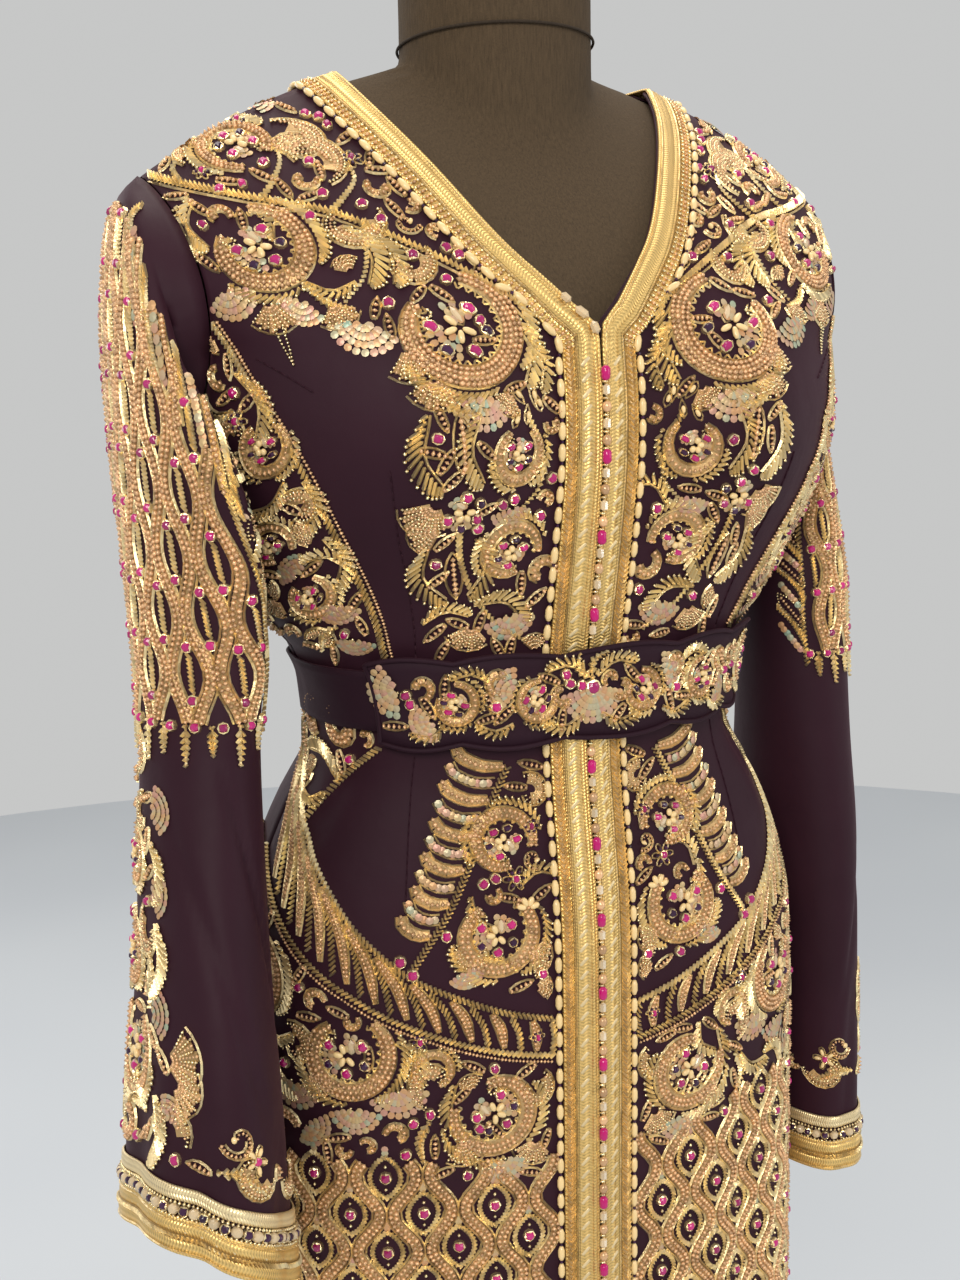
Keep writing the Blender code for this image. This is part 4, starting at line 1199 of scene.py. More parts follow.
    def bead_curl(self, reach=0.020, sweep=270, start=180):
        """Parallel rows of beads that curl inwards together."""
        rows = max(2, int(round(5 * self.size)))
        line = spiral(start, sweep, reach, reach * 0.34, (reach, 0), ease=1.2)
        core = beside(line, 0.0012 / self.size * (rows - 1) * np.linspace(0.7, 1, len(line)))
        self.bed(core[rows: len(line) - 4 * rows], 0.0024 / self.size * rows)
        for k in range(rows):
            row = beside(line, 0.0024 / self.size * k * np.linspace(0.7, 1, len(line)))
            self.beads(row[k * 3: len(line) - 7 * k], 0.0024, "peach" if k % 2 else "seed")
        self.chain(beside(line, -0.0020 / self.size), 0.0016)

    def comma(self, reach=0.0105, sweep=230, wide=0.0074):
        """A small thick scroll, full at one end and pinched at the other."""
        self.scroll(spiral(180, sweep, reach, reach * 0.42, ease=1.3, count=50), wide,
                    ends=(0.30, 0.75))

    def pod(self, long=0.024, wide=0.0076):
        """A pointed pod of wire filled with a row of beads, centred."""
        self.chain(drop((0, 0), 0, long, wide, pointed=True, count=16), 0.0016)
        self.beads(np.array([(-long * 0.36, 0), (long * 0.36, 0)]), BEAD)

    def posy(self, reach=0.0095, petals=6, fill="purple"):
        """A small flower of looped wire round a pink stone."""
        for k in range(petals):
            self.loop((0, 0), 360 / petals * k, reach, reach * 0.55, fill)
        self.stone((0, 0), 0.0052)


TRIO = ((0, 0.0021), (0.0018, -0.001), (-0.0018, -0.001))
MOTIFS = {
    "ring": Pen.ring_scroll,
    "open_ring": lambda pen: pen.ring_scroll(heart=False),
    "leaf": Pen.leaf,
    "comb": Pen.half_leaf,
    "comb_back": lambda pen: pen.half_leaf(hand=-1, bend=-0.010),
    "fan": Pen.ribbed,
    "tailed_fan": lambda pen: pen.ribbed(tail=0.022),
    "shell": Pen.shells,
    "tendril": Pen.tendril,
    "curl": Pen.bead_curl,
    "comma": Pen.comma,
    "pod": Pen.pod,
    "posy": Pen.posy,
    "cream_posy": lambda pen: pen.posy(0.010, 5, "oval"),
    "stone": lambda pen: pen.stone((0, 0)),
    "navette": lambda pen: pen.navette((0, 0)),
    "loop": lambda pen: pen.loop((0, 0), 0, 0.014, 0.007),
    "blossom": lambda pen: pen.blossom((0, 0)),
    "jewels": Pen.jewels,
    "trio": lambda pen: pen.dots("peach", np.array(TRIO), 0.0026),
}
MOTIF_REST = (0, 1.0, 1)    # turn, size and mirror, where a row leaves them out


def scatter(pen, table, shift=0.0):
    """Motifs of a table: kind, across, height, turn in degrees, size, and mirror."""
    for row in table:
        kind, u, v, turn, scale, mirror = (*row, *MOTIF_REST[len(row) - 3:])
        MOTIFS[kind](pen.local(u, v + shift, turn, scale, mirror))


def within(outline):
    """A test of whether a place is inside an outline."""
    path = np.array(outline)

    def inside(u, v):
        a, b = path, np.roll(path, -1, axis=0)
        crosses = (a[:, 1] > v) != (b[:, 1] > v)
        slope = (b[:, 0] - a[:, 0]) * (v - a[:, 1]) / (b[:, 1] - a[:, 1] + 1e-12) + a[:, 0]
        return bool((crosses & (u < slope)).sum() % 2)
    return inside


FILLERS = (                 # kind, clearance it asks for, reach at size 1, its middle's distance
    ("ring", 0.0150, 0.0340, 0.0),
    ("comma", 0.0086, 0.0135, 0.0),
    ("shell", 0.0080, 0.0110, 0.0070),
    ("comma", 0.0086, 0.0135, 0.0),
    ("comb", 0.0070, 0.0120, 0.0200),
    ("comma", 0.0052, 0.0135, 0.0),
    ("fan", 0.0058, 0.0120, 0.0085),
    ("comb_back", 0.0050, 0.0100, 0.0200),
    ("comma", 0.0052, 0.0135, 0.0),
    ("pod", 0.0036, 0.0060, 0.0),
    ("stone", 0.0038, 0.0045, 0.0),
    ("pod", 0.0030, 0.0055, 0.0),
    ("pod", 0.0030, 0.0055, 0.0),
    ("trio", 0.0024, 0.0030, 0.0),
)
SPARE = 0.0026              # gaps narrower than twice this stay bare
SMALLEST, LARGEST = 0.42, 1.35      # sizes of a filler


def clearance(used, reach=9):
    """Cells to the nearest bead, counted in square rings."""
    clear = np.zeros(used.shape)
    full = used.copy()
    for _ in range(reach):
        clear += ~full
        wide = np.pad(full, 1, mode="edge")
        full = np.maximum.reduce([wide[1 + i:1 + i + used.shape[0], 1 + j:1 + j + used.shape[1]]
                                  for i in (-1, 0, 1) for j in (-1, 0, 1)])
    return clear


def open_way(clear, i, j, reach, rng):
    """The direction in which there is most room round a cell."""
    turns = np.arange(0, 360, 20) + rng.uniform(0, 20)
    room = []
    for turn in np.radians(turns):
        steps = np.arange(-reach, reach + 1)
        a = np.clip(np.rint(i + steps * math.sin(turn)).astype(int), 0, clear.shape[0] - 1)
        b = np.clip(np.rint(j + steps * math.cos(turn)).astype(int), 0, clear.shape[1] - 1)
        room.append(clear[a, b].min() + 0.1 * clear[a, b].sum())
    return float(turns[int(np.argmax(room))])


def fill(pen, outline, seed=3, skip=()):
    """Packs a region: the widest bare place gets a motif of its size, again and again."""
    rng = np.random.default_rng(seed)
    sheet, outline = pen.sheet, np.array(outline)
    rows, columns = sheet.cell(pen.side * outline[:, 0], outline[:, 1])
    top, left = rows.min(), columns.min()
    region = (slice(top, rows.max() + 1), slice(left, columns.max() + 1))
    shape = sheet.used[region].shape
    inside = within(outline)
    v = sheet.levels[0] + (top + np.arange(shape[0])) * sheet.rise
    u = pen.side * (-sheet.half + (left + np.arange(shape[1])) * sheet.step)
    outer = np.array([[not inside(a, b) for a in u] for b in v])
    for number in range(600):
        clear = clearance(sheet.used[region] | outer)
        clear += rng.uniform(0, 0.3, shape) * (clear > 0)
        i, j = np.unravel_index(int(np.argmax(clear)), shape)
        room = (int(clear[i, j]) - 0.4) * sheet.step
        if room < SPARE:
            break
        fits = [(kind, reach, back) for kind, asked, reach, back in FILLERS
                if asked <= room and kind not in skip][:4]
        if not fits:
            break
        kind, reach, back = fits[number % len(fits)]
        size = min(max(room / reach, SMALLEST), LARGEST)
        turn = open_way(clear, i, j, 3, rng) + 180 * int(rng.integers(2))
        foot = np.array((u[j], v[i])) - back * size * toward(turn)
        MOTIFS[kind](pen.local(*foot, turn, size, 1 if rng.uniform() > 0.5 else -1))
        near = max(1, int(room / sheet.step * 0.7))
        sheet.used[max(top + i - near, 0):top + i + near + 1,
                   max(left + j - near, 0):left + j + near + 1] = True


# ---------------------------------------------------------------- embroidery of the fronts
# Places are metres out from the middle of the front and heights; both halves mirror each other.
# A motif's row: kind, place, then turn in degrees, size and mirror where they aren't 0, 1 and 1.
YOKE_STEM = ((0.240, 1.347), (0.218, 1.340), (0.174, 1.329), (0.138, 1.321), (0.104, 1.305),
             (0.078, 1.291), (0.052, 1.275), (0.040, 1.262))
YOKE_BRANCHES = (
    ((0.174, 1.329), (0.166, 1.338), (0.158, 1.352), (0.160, 1.366)),
    ((0.138, 1.321), (0.130, 1.328), (0.120, 1.340), (0.122, 1.352)),
    ((0.218, 1.340), (0.222, 1.350), (0.212, 1.358), (0.206, 1.352)),
    ((0.122, 1.315), (0.124, 1.300), (0.130, 1.284), (0.142, 1.272)),
)
YOKE = (
    ("ring", 0.182, 1.302, 20, 1.08), ("ring", 0.086, 1.256, 35, 1.36),
    ("ring", 0.180, 1.362, 200, 0.92), ("curl", 0.156, 1.376, 250, 1.15),
    ("curl", 0.134, 1.338, 70, 1.10, -1), ("curl", 0.112, 1.322, 335, 1.05),
    ("curl", 0.092, 1.300, 320, 0.80), ("fan", 0.146, 1.358, 70, 0.84),
    ("curl", 0.214, 1.352, 120, 0.85), ("tendril", 0.090, 1.312, 20, 0.62),
    ("tendril", 0.148, 1.366, 300, 0.70, -1), ("posy", 0.176, 1.378, 0, 0.80),
    ("posy", 0.118, 1.352, 30, 0.75), ("posy", 0.204, 1.346, 10, 0.65),
    ("comb", 0.214, 1.330, 262, 0.95), ("comb", 0.222, 1.326, 258, 0.85),
    ("comb", 0.228, 1.318, 256, 0.70), ("comb_back", 0.134, 1.312, 262),
    ("comb_back", 0.124, 1.308, 255, 0.90), ("comb", 0.052, 1.262, 268, 1.00, -1),
    ("comb", 0.044, 1.250, 262, 0.72, -1), ("comb", 0.160, 1.322, 300, 0.60),
    ("shell", 0.206, 1.279, 250, 0.95), ("tailed_fan", 0.184, 1.272, 262, 0.95),
    ("shell", 0.166, 1.272, 300, 0.80), ("shell", 0.136, 1.260, 285, 1.10),
    ("fan", 0.150, 1.270, 250, 0.80), ("fan", 0.116, 1.246, 255, 1.05),
    ("fan", 0.106, 1.230, 275, 0.95), ("shell", 0.080, 1.220, 278, 1.05),
    ("fan", 0.062, 1.222, 300, 0.70), ("leaf", 0.160, 1.280, 215, 0.75),
    ("leaf", 0.104, 1.218, 190, 0.80), ("loop", 0.044, 1.222, 250, 0.80),
    ("loop", 0.050, 1.216, 275, 0.80), ("loop", 0.056, 1.213, 300, 0.80),
    ("stone", 0.196, 1.335), ("stone", 0.140, 1.331),
    ("stone", 0.112, 1.316), ("stone", 0.150, 1.318),
    ("stone", 0.074, 1.296), ("stone", 0.128, 1.378),
    ("stone", 0.142, 1.350), ("stone", 0.100, 1.296),
    ("stone", 0.120, 1.270), ("navette", 0.190, 1.388, 80, 0.9),
)
CHEST_STEMS = (
    ((0.088, 1.150), (0.084, 1.132), (0.074, 1.112), (0.060, 1.094), (0.040, 1.080)),
    ((0.050, 1.208), (0.041, 1.192), (0.040, 1.172), (0.050, 1.160)),
)
CHEST_PANEL = (
    ("comb", 0.112, 1.212, 254, 1.05), ("comb", 0.084, 1.212, 262, 0.95),
    ("pod", 0.094, 1.196, 264, 1.45), ("ring", 0.058, 1.190, 60, 0.66),
    ("jewels", 0.088, 1.160, 0, 0.95), ("fan", 0.104, 1.164, 300, 1.10),
    ("fan", 0.100, 1.150, 340, 0.90), ("comb", 0.104, 1.140, 246),
    ("comb_back", 0.076, 1.144, 272, 0.95), ("pod", 0.086, 1.122, 258, 1.35),
    ("ring", 0.054, 1.134, 250, 0.70, -1), ("shell", 0.058, 1.160, 265, 0.75),
    ("comb_back", 0.072, 1.104, 205, 0.85), ("shell", 0.050, 1.096, 262, 0.90),
    ("fan", 0.072, 1.090, 285, 0.85), ("loop", 0.044, 1.214, 80, 0.9),
    ("loop", 0.052, 1.216, 50, 0.9), ("stone", 0.038, 1.154, 0, 0.9),
)
SIDE_ROPE = ((0.221, 1.262), (0.204, 1.221), (0.186, 1.190), (0.164, 1.159), (0.142, 1.126),
             (0.128, 1.098), (0.120, 1.072))
SIDE_PANEL = (
    ("comb", 0.216, 1.236, 262, 0.95, -1), ("ring", 0.206, 1.196, 60, 0.62),
    ("curl", 0.192, 1.166, 200, 0.70), ("comb_back", 0.180, 1.178, 262, 0.80),
    ("ring", 0.196, 1.140, 250, 0.62, -1), ("fan", 0.170, 1.152, 330, 0.70),
    ("comb", 0.162, 1.146, 255, 0.90, -1), ("ring", 0.168, 1.110, 30, 0.60),
    ("shell", 0.150, 1.106, 270, 0.85), ("fan", 0.192, 1.106, 300, 0.80),
    ("shell", 0.138, 1.084, 275, 0.75), ("curl", 0.172, 1.082, 180, 0.60),
    ("leaf", 0.150, 1.092, 300, 0.70), ("leaf", 0.206, 1.150, 262, 0.80),
    ("posy", 0.222, 1.210, 0, 0.8), ("posy", 0.220, 1.166, 0, 0.8),
    ("curl", 0.232, 1.190, 120, 0.70), ("curl", 0.226, 1.140, 120, 0.70),
    ("posy", 0.212, 1.120, 0, 0.8),
)
WAIST_ROPE = ((0.126, 1.014), (0.142, 1.002), (0.160, 0.988), (0.184, 0.966))
HIP_TOP = ((0.216, 1.016), (0.204, 1.000), (0.190, 0.976), (0.178, 0.955), (0.162, 0.930),
           (0.146, 0.908), (0.118, 0.883), (0.088, 0.867), (0.058, 0.854), (0.030, 0.846))
HIP_LOW = ((0.232, 0.942), (0.208, 0.915), (0.186, 0.894), (0.168, 0.880), (0.152, 0.870),
           (0.136, 0.860), (0.118, 0.851), (0.088, 0.838), (0.058, 0.828), (0.030, 0.822))
PLUME = ((0.050, 1.002), (0.062, 0.979), (0.072, 0.957), (0.082, 0.937), (0.092, 0.919),
         (0.104, 0.902), (0.114, 0.888))
CLUSTER = (
    ("ring", 0.056, 0.958, 260, 0.76, -1), ("ring", 0.064, 0.904, 60, 0.95),
    ("curl", 0.040, 0.996, 250, 0.55), ("curl", 0.088, 0.900, 210, 0.60, -1),
    ("tendril", 0.034, 0.940, 60, 0.55), ("posy", 0.050, 0.936, 0, 0.85),
    ("posy", 0.038, 0.966, 0, 0.65), ("fan", 0.044, 0.888, 200, 0.80),
    ("shell", 0.084, 0.884, 250, 0.65), ("leaf", 0.052, 0.880, 20, 0.85),
    ("blossom", 0.044, 0.918, 90), ("comb", 0.078, 0.928, 235, 0.60),
    ("stone", 0.094, 0.906, 0, 0.9), ("stone", 0.036, 0.876, 0, 0.9),
)
FLOWERS = (
    ("ring", 0.156, 0.834, 60, 1.05), ("ring", 0.068, 0.792, 80, 1.02, -1),
    ("ring", 0.226, 0.872, 40), ("open_ring", 0.104, 0.822, 250, 0.50),
    ("curl", 0.110, 0.800, 110, 0.80), ("curl", 0.194, 0.848, 250, 0.70),
    ("curl", 0.036, 0.812, 300, 0.62), ("shell", 0.126, 0.812, 262, 1.05),
    ("shell", 0.152, 0.800, 270, 0.95), ("shell", 0.062, 0.760, 265, 0.95),
    ("shell", 0.190, 0.812, 285), ("fan", 0.178, 0.820, 255, 0.95),
    ("fan", 0.088, 0.776, 250, 0.95), ("fan", 0.042, 0.768, 290, 0.85),
    ("comb", 0.092, 0.812, 255, 0.85), ("comb_back", 0.126, 0.842, 250, 0.75),
    ("comb", 0.206, 0.836, 240, 0.90), ("leaf", 0.108, 0.790, 280, 0.80),
    ("posy", 0.112, 0.842, 0, 0.70), ("posy", 0.232, 0.836, 0, 0.80),
    ("posy", 0.040, 0.836, 0, 0.55),
)
# Outlines of the regions that fill() packs.
ABOVE_STEM = (*YOKE_STEM, (0.044, 1.272), (0.094, 1.342), (0.128, 1.384), (0.160, 1.402),
              (0.214, 1.370), (0.240, 1.356))
BELOW_STEM = (*YOKE_STEM[::-1], (0.230, 1.330), (0.222, 1.288), (0.150, 1.268), (0.112, 1.232),
              (0.070, 1.214), (0.036, 1.222))
CHEST_AREA = ((0.032, 1.226), (0.112, 1.226), (0.120, 1.196), (0.112, 1.140), (0.100, 1.100),
              (0.092, 1.074), (0.032, 1.074))
SIDE_AREA = (*SIDE_ROPE, (0.150, 1.072), (0.225, 1.078), (0.246, 1.130), (0.246, 1.200),
             (0.236, 1.258))
WAIST_AREA = (*WAIST_ROPE, (0.206, 1.000), (0.222, 1.026), (0.126, 1.026))
CLUSTER_AREA = ((0.034, 1.008), (0.048, 0.996), (0.066, 0.956), (0.086, 0.915), (0.098, 0.890),
                (0.060, 0.868), (0.034, 0.860))
FLOWER_AREA = (*HIP_LOW[::-1], (0.262, 0.944), (0.262, 0.760), (0.110, 0.750), (0.032, 0.742))
SEAMS = (                   # the dart, the princess seam and the side seam of a front
    ((0.200, 1.243), (0.187, 1.235), (0.172, 1.225)),
    ((0.132, 1.183), (0.122, 1.150), (0.112, 1.120), (0.104, 1.086), (0.100, 1.040)),
    ((0.104, 1.010), (0.112, 0.960), (0.118, 0.915)),
)
STRAND_GAP, STRAND_PITCH, STRAND_REACH = 0.0029, 0.0120, 0.87
STRAND_WIDE, STRAND_HIGH = 0.0047, 0.0044
STRAND_SPACER = (0.0022, 0.0024, 0.0026)    # along, across and high


def strand(pen, sheet, side):
    """Cream oval beads laid end to end on the cloth beside the whole braid."""
    levels = np.arange(0.004, sheet.levels[-1] - 0.004, 0.002)
    edge, across, _, out = sheet.at(np.full(len(levels), side * BAND_WIDE), levels)
    line = edge + side * across * STRAND_GAP + out * (0.0022 - LAYER)
    run = length_along(line)
    places = np.arange(STRAND_PITCH / 2, run[-1], STRAND_PITCH)
    middle, out, along = (read_at(places, run, t) for t in (line, out, np.gradient(line, axis=0)))
    along /= np.linalg.norm(along, axis=1, keepdims=True)
    across = np.cross(out, along)
    add(pen.zone, "oval", middle, along * STRAND_PITCH * STRAND_REACH, across * STRAND_WIDE,
        out * STRAND_HIGH)
    gaps = (middle[1:] + middle[:-1]) / 2
    long, wide, high = STRAND_SPACER
    add(pen.zone, "purple", gaps, along[1:] * long, across[1:] * wide, out[1:] * high)


def comb_spray(pen, stem, count=11, long=0.033):
    """A plume: a herringbone stem with curled leaves of beads and of sequins on its outer side."""
    line = curve(stem)
    for shift, hand in ((-0.0011, 1), (0.0011, -1)):
        pen.rope(beside(line, shift), 0.0026, 0.0030, 40, 0.0014, hand=hand)
    points, heading, share = pen.spaced(line, 0.0112)
    for k, ((x, y), way, place) in enumerate(zip(points[:count], heading, share)):
        angle = math.degrees(math.atan2(way[1], way[0])) + 84
        reach = long * (1.0 - 0.38 * place)
        spray = pen.local(x, y, angle)
        rib = curve([(0.003, 0), (reach * 0.45, -0.0036), (reach * 0.85, -0.0022),
                     (reach, 0.0022)])
        if k % 2:
            spray.discs(rib[6:-6])
            for hand in (-1, 1):
                spray.chain(beside(rib, hand * 0.0030), 0.0015)
        else:
            spray.scroll(rib, 0.0074, ends=(0.35, 0.55))
    tip = stem[-1]
    for shift in ((0.001, -0.004), (0.008, 0.004)):
        pen.stone((tip[0] + shift[0], tip[1] + shift[1]), 0.0064)


def slanted_band(pen, top, low, pitch=0.0140):
    """The hip band: ropes above and below, and slanted bars of beads and of cord between."""
    upper, lower = curve(top), curve(low)
    pen.rope(upper, 0.0040)
    pen.rope(lower, 0.0040, hand=-1)
    pen.beads(beside(lower, 0.0040), 0.0023)
    start, _, _ = pen.spaced(upper, pitch)
    end, _, _ = pen.spaced(lower, pitch * len(lower) / len(upper))
    count = len(start)
    end = read_at(np.linspace(0.16, 1, count), np.linspace(0, 1, len(end)), end)
    for k, (a, b) in enumerate(zip(start, end)):
        side = np.array((b - a)[::-1]) * (1, -1) * 0.06
        line = curve([a + (b - a) * 0.12, (a + b) / 2 + side, a + (b - a) * 0.88])
        if k % 2:
            pen.rope(line, 0.0044, 0.0030, 48, 0.0018)
        else:
            bulge = np.sin(np.pi * np.linspace(0.08, 0.92, len(line))) ** 0.7
            pen.bed(line, 0.0046 * bulge)
            for shift in (-0.0013, 0.0013):
                pen.beads(beside(line, shift * bulge)[5:-5], 0.0026)
            for shift in (-0.0031, 0.0031):
                pen.chain(beside(line, shift * bulge), 0.0015)


def tube_line(pen, line, rows=2):
    """A raised tube of beads between two chains."""
    pen.bed(line, rows * BEAD / pen.size, 0.0062)
    for row in range(rows):
        pen.beads(beside(line, (row - (rows - 1) / 2) * BEAD), BEAD)
    for hand in (-1, 1):
        pen.chain(beside(line, hand * (rows * BEAD / 2 + 0.0009)), 0.0017)


def ogee_lattice(pen, inside, box, wide, tall, heart, rows=2):
    """Wavy tubes of beads that meet and part, with a jewel in every opening."""
    left, right, low, high = box
    height = np.arange(low, high + 0.001, 0.002)
    for k in range(int(round((right - left) / (wide / 2))) + 1):
        middle = left + k * wide / 2
        sway = (-1) ** k * wide * 0.16
        across = middle + sway * np.cos(2 * np.pi * (height - low) / tall)
        line = paired(across, height)
        kept = np.array([inside(*point) for point in line])
        for run in np.split(np.arange(len(line)), np.flatnonzero(np.diff(kept.astype(int))) + 1):
            if kept[run[0]] and len(run) > 5:
                tube_line(pen, line[run], rows)
        first = low + tall * (0.5 if k % 2 == 0 else 1.0)
        for y in np.arange(first, high, tall):
            x = middle + wide / 4
            if all(inside(x, y + tall * shift) for shift in (0, -0.2, 0.2)):
                heart(pen.local(x, y), wide, tall)


def drop_heart(pen, wide, tall):
    """A corded drop round a pink stone with a pair of sequins over it."""
    pen.rope(drop((0, 0), 90, tall * 0.54, wide * 0.42, pointed=True, count=30), 0.0030, 0.0024, 46)
    pen.stone((0, 0), 0.0062)
    pen.dots("seed", np.array([(0, tall * 0.15), (0, -tall * 0.15)]), 0.0026)
    pen.dots("sequin", np.array([(0, tall * 0.32), (0, tall * 0.37)]), 0.0044, 0.0008)


def slit_heart(pen, _, tall):
    """A narrow corded slit between two pink stones."""
    pen.rope(upright(0, -tall * 0.16, tall * 0.16), 0.0034, 0.0024, 46)
    for hand in (1, -1):
        pen.stone((0, hand * tall * 0.25), 0.0058)


LATTICE_BOX = (0.036, 0.256, 0.530, 0.764)
LATTICE_WIDE, LATTICE_TALL = 0.044, 0.050


def lattice(pen):
    """Ogee lattice of the lower front, ended by a row of leaves."""
    left, right, low, high = LATTICE_BOX
    inside = within(((left - 0.01, low), (right + 0.01, low), (right + 0.01, high + 0.02),
                     (0.11, high), (left - 0.01, high - 0.008)))
    ogee_lattice(pen, inside, LATTICE_BOX, LATTICE_WIDE, LATTICE_TALL, drop_heart)
    for k in range(int((right - left) / (LATTICE_WIDE / 2)) + 1):
        foot = pen.local(left + LATTICE_WIDE / 2 * k, low - 0.003, -90)
        if k % 2:
            foot.leaf(0.026, 0.010, 0.0)
            foot.stone((0.031, 0), 0.0056)
        else:
            foot.loop((0.002, 0), 0, 0.014, 0.008)


def front_embroidery(sheet, side, word):
    """All the embroidery of one front, and its fine seams."""
    def zone(name, lift=0.0):
        return Pen(sheet, name + "_" + word, side=side, lift=lift)

    pen = zone("seams", -0.00035)
    for seam in SEAMS:
        pen.chain(curve(seam), 0.0011, kind="seam")
    strand(zone("strand"), braids[side][0], side)
    pen = zone("yoke")
    pen.rope(curve(YOKE_STEM), 0.0052, taper=0.4)
    pen.chain(beside(curve(YOKE_STEM), 0.0036), 0.0016)
    for branch in YOKE_BRANCHES:
        pen.rope(curve(branch), 0.0038, taper=0.5)
    scatter(pen, YOKE)
    fill(pen, ABOVE_STEM, 5)
    fill(pen, BELOW_STEM, 6)
    pen = zone("chest")
    for stem in CHEST_STEMS:
        pen.rope(curve(stem), 0.0040, taper=0.4)
    scatter(pen, CHEST_PANEL)
    fill(pen, CHEST_AREA, 7)
    pen = zone("side")
    pen.rope(curve(SIDE_ROPE), 0.0046)
    pen.beads(beside(curve(SIDE_ROPE), -0.0040), 0.0023)
    scatter(pen, SIDE_PANEL)
    fill(pen, SIDE_AREA, 8)
    pen = zone("hip")
    pen.rope(curve(WAIST_ROPE), 0.0042)
    fill(pen, WAIST_AREA, 9, ("ring", "shell"))
    comb_spray(pen, PLUME)
    scatter(pen, CLUSTER)
    fill(pen, CLUSTER_AREA, 10)
    slanted_band(pen, HIP_TOP, HIP_LOW)
    lattice(zone("lattice"))
    pen = zone("flowers")
    scatter(pen, FLOWERS)
    fill(pen, FLOWER_AREA, 11)


# ---------------------------------------------------------------- surfaces of the trims
def front_face(x, z):
    """Inner face of a front panel below the chest line, by distance from the middle."""
    return ring_point(front_angle(x, z), z)


def tangents(x, way):
    """Directions of the chest surface along x and along its way up."""
    small = 1e-4
    here = chest_point(x, way)
    return np.stack([(chest_point(x + small, way) - here) / small,
                     (chest_point(x, way + small) - here) / small], axis=1)


def walk(x, way, heading, distance, steps=4):
    """Follow the chest surface from a place, in a heading, for a distance."""
    for _ in range(steps):
        move = np.linalg.lstsq(tangents(x, way), heading * distance / steps, rcond=None)[0]
        x += float(move[0])
        way += float(move[1])
    return chest_point(x, way)


def neck_rows(across, spacing=0.012, first=0.020):
    """Rows of the braid square to the neck edge, from the V round to the middle of the back."""
    places = [(float(smooth(NECK_SHARE, NECK_X, way)), way) for way in np.linspace(V_LOW, 1, 60)]
    places += [(x, 1 + NECK_DROP * (1 - (x / NECK_X[-1]) ** 2))
               for x in np.linspace(NECK_X[-1], SEAM, 40)[1:]]
    path = np.array([(*chest_point(x, way), x, way) for x, way in places])
    run = length_along(path[:, :3])
    places = np.linspace(first, run[-1], int((run[-1] - first) / spacing))
    path = read_at(places, run, path)
    rows = []
    for place, along in zip(path, np.gradient(path[:, :3], axis=0)):
        frame_here = tangents(place[3], place[4])
        heading = np.cross(np.cross(frame_here[:, 0], frame_here[:, 1]), along)
        heading *= np.sign(heading @ (place[:3] - NECK_MIDDLE))
        heading /= np.linalg.norm(heading)
        rows.append([walk(place[3], place[4], heading, w) for w in across])
    return np.array(rows)


def braid_sheet(side, step=0.0005):
    """Where one braid lies: up the front edge, the V and the neck, to the middle of the back."""
    across = np.linspace(SEAM, BAND_WIDE, 5)
    low_z = CHEST + V_LOW * (ridge(0) - CHEST)
    heights = np.linspace(HEM, low_z - NECK_BAND_LOW - 0.006, 110)
    front = [front_face(across, np.full(len(across), z)) for z in heights]
    front.append(front_face(across, low_z - NECK_BAND_LOW * across / BAND_WIDE))
    front = np.array(front)
    neck = neck_rows(across)
    grid = np.concatenate([front, neck])
    rise = np.concatenate([np.ones(len(front)), np.clip(1 - np.arange(len(neck)) / 3, 0, 1)])
    grid[:, :, 1] -= BAND_RISE * rise[:, None] * (1 - across / BAND_WIDE)
    grid += outward(grid) * (CLOTH + LAYER)
    run = length_along(grid[:, 2])
    levels = np.arange(0, run[-1], SHEET_STEP)
    lines = smooth(run, grid, levels)
    lines = np.array([even(line, len(across)) for line in lines])
    if side < 0:
        lines = lines[:, ::-1] * (-1, 1, 1)
    middle = 0 if side > 0 else len(across) - 1
    sheet = Sheet(levels, lines, [middle] * len(lines), half=0.024, step=step)
    sheet.front_end = run[len(front) - 1]
    return sheet


def sleeve_sheet(side, grid):
    """The outer face of a sleeve: round from its outer line to the front, and up."""
    face = grid + outward(grid, closed=True, flip=side < 0) * CLOTH
    half = face.shape[1] // 2
    lines = np.concatenate([face[:, half + 1:], face[:, :half + 1]], axis=1)
    middle = half - 1
    if side > 0:
        lines = lines[:, ::-1]
        middle = lines.shape[1] - 1 - middle
    steps = np.linalg.norm(np.diff(face.mean(axis=1), axis=0), axis=1)
    run = steps.sum()
    levels = np.linspace(-run, 0, len(face))
    return Sheet(levels, lines[::-1], [middle] * len(face), half=0.22)


def belt_lift(grid):
    """How far out the belt lies: over the braids in front, on the cloth at the sides."""
    over = 1 / (1 + (np.abs(grid[..., 0]) / BELT_BRIDGE) ** 4)
    over[grid[..., 1] > 0] = 0
    return CLOTH + 2 * LAYER + (BAND_RISE + BRAID) * over


def belt_rows(start, end, half, rows, columns, extra=0.0, closed=False):
    """Rows of the belt round the waist, from degree to degree; half may vary along it."""
    angles = np.radians(np.linspace(start, end, columns, endpoint=not closed))
    shares = np.linspace(-1, 1, rows)[:, None]
    grid = ring_point(np.broadcast_to(angles, (rows, columns)), WAIST + shares * half)
    return grid + outward(grid, closed=closed) * (belt_lift(grid) + extra)[..., None]


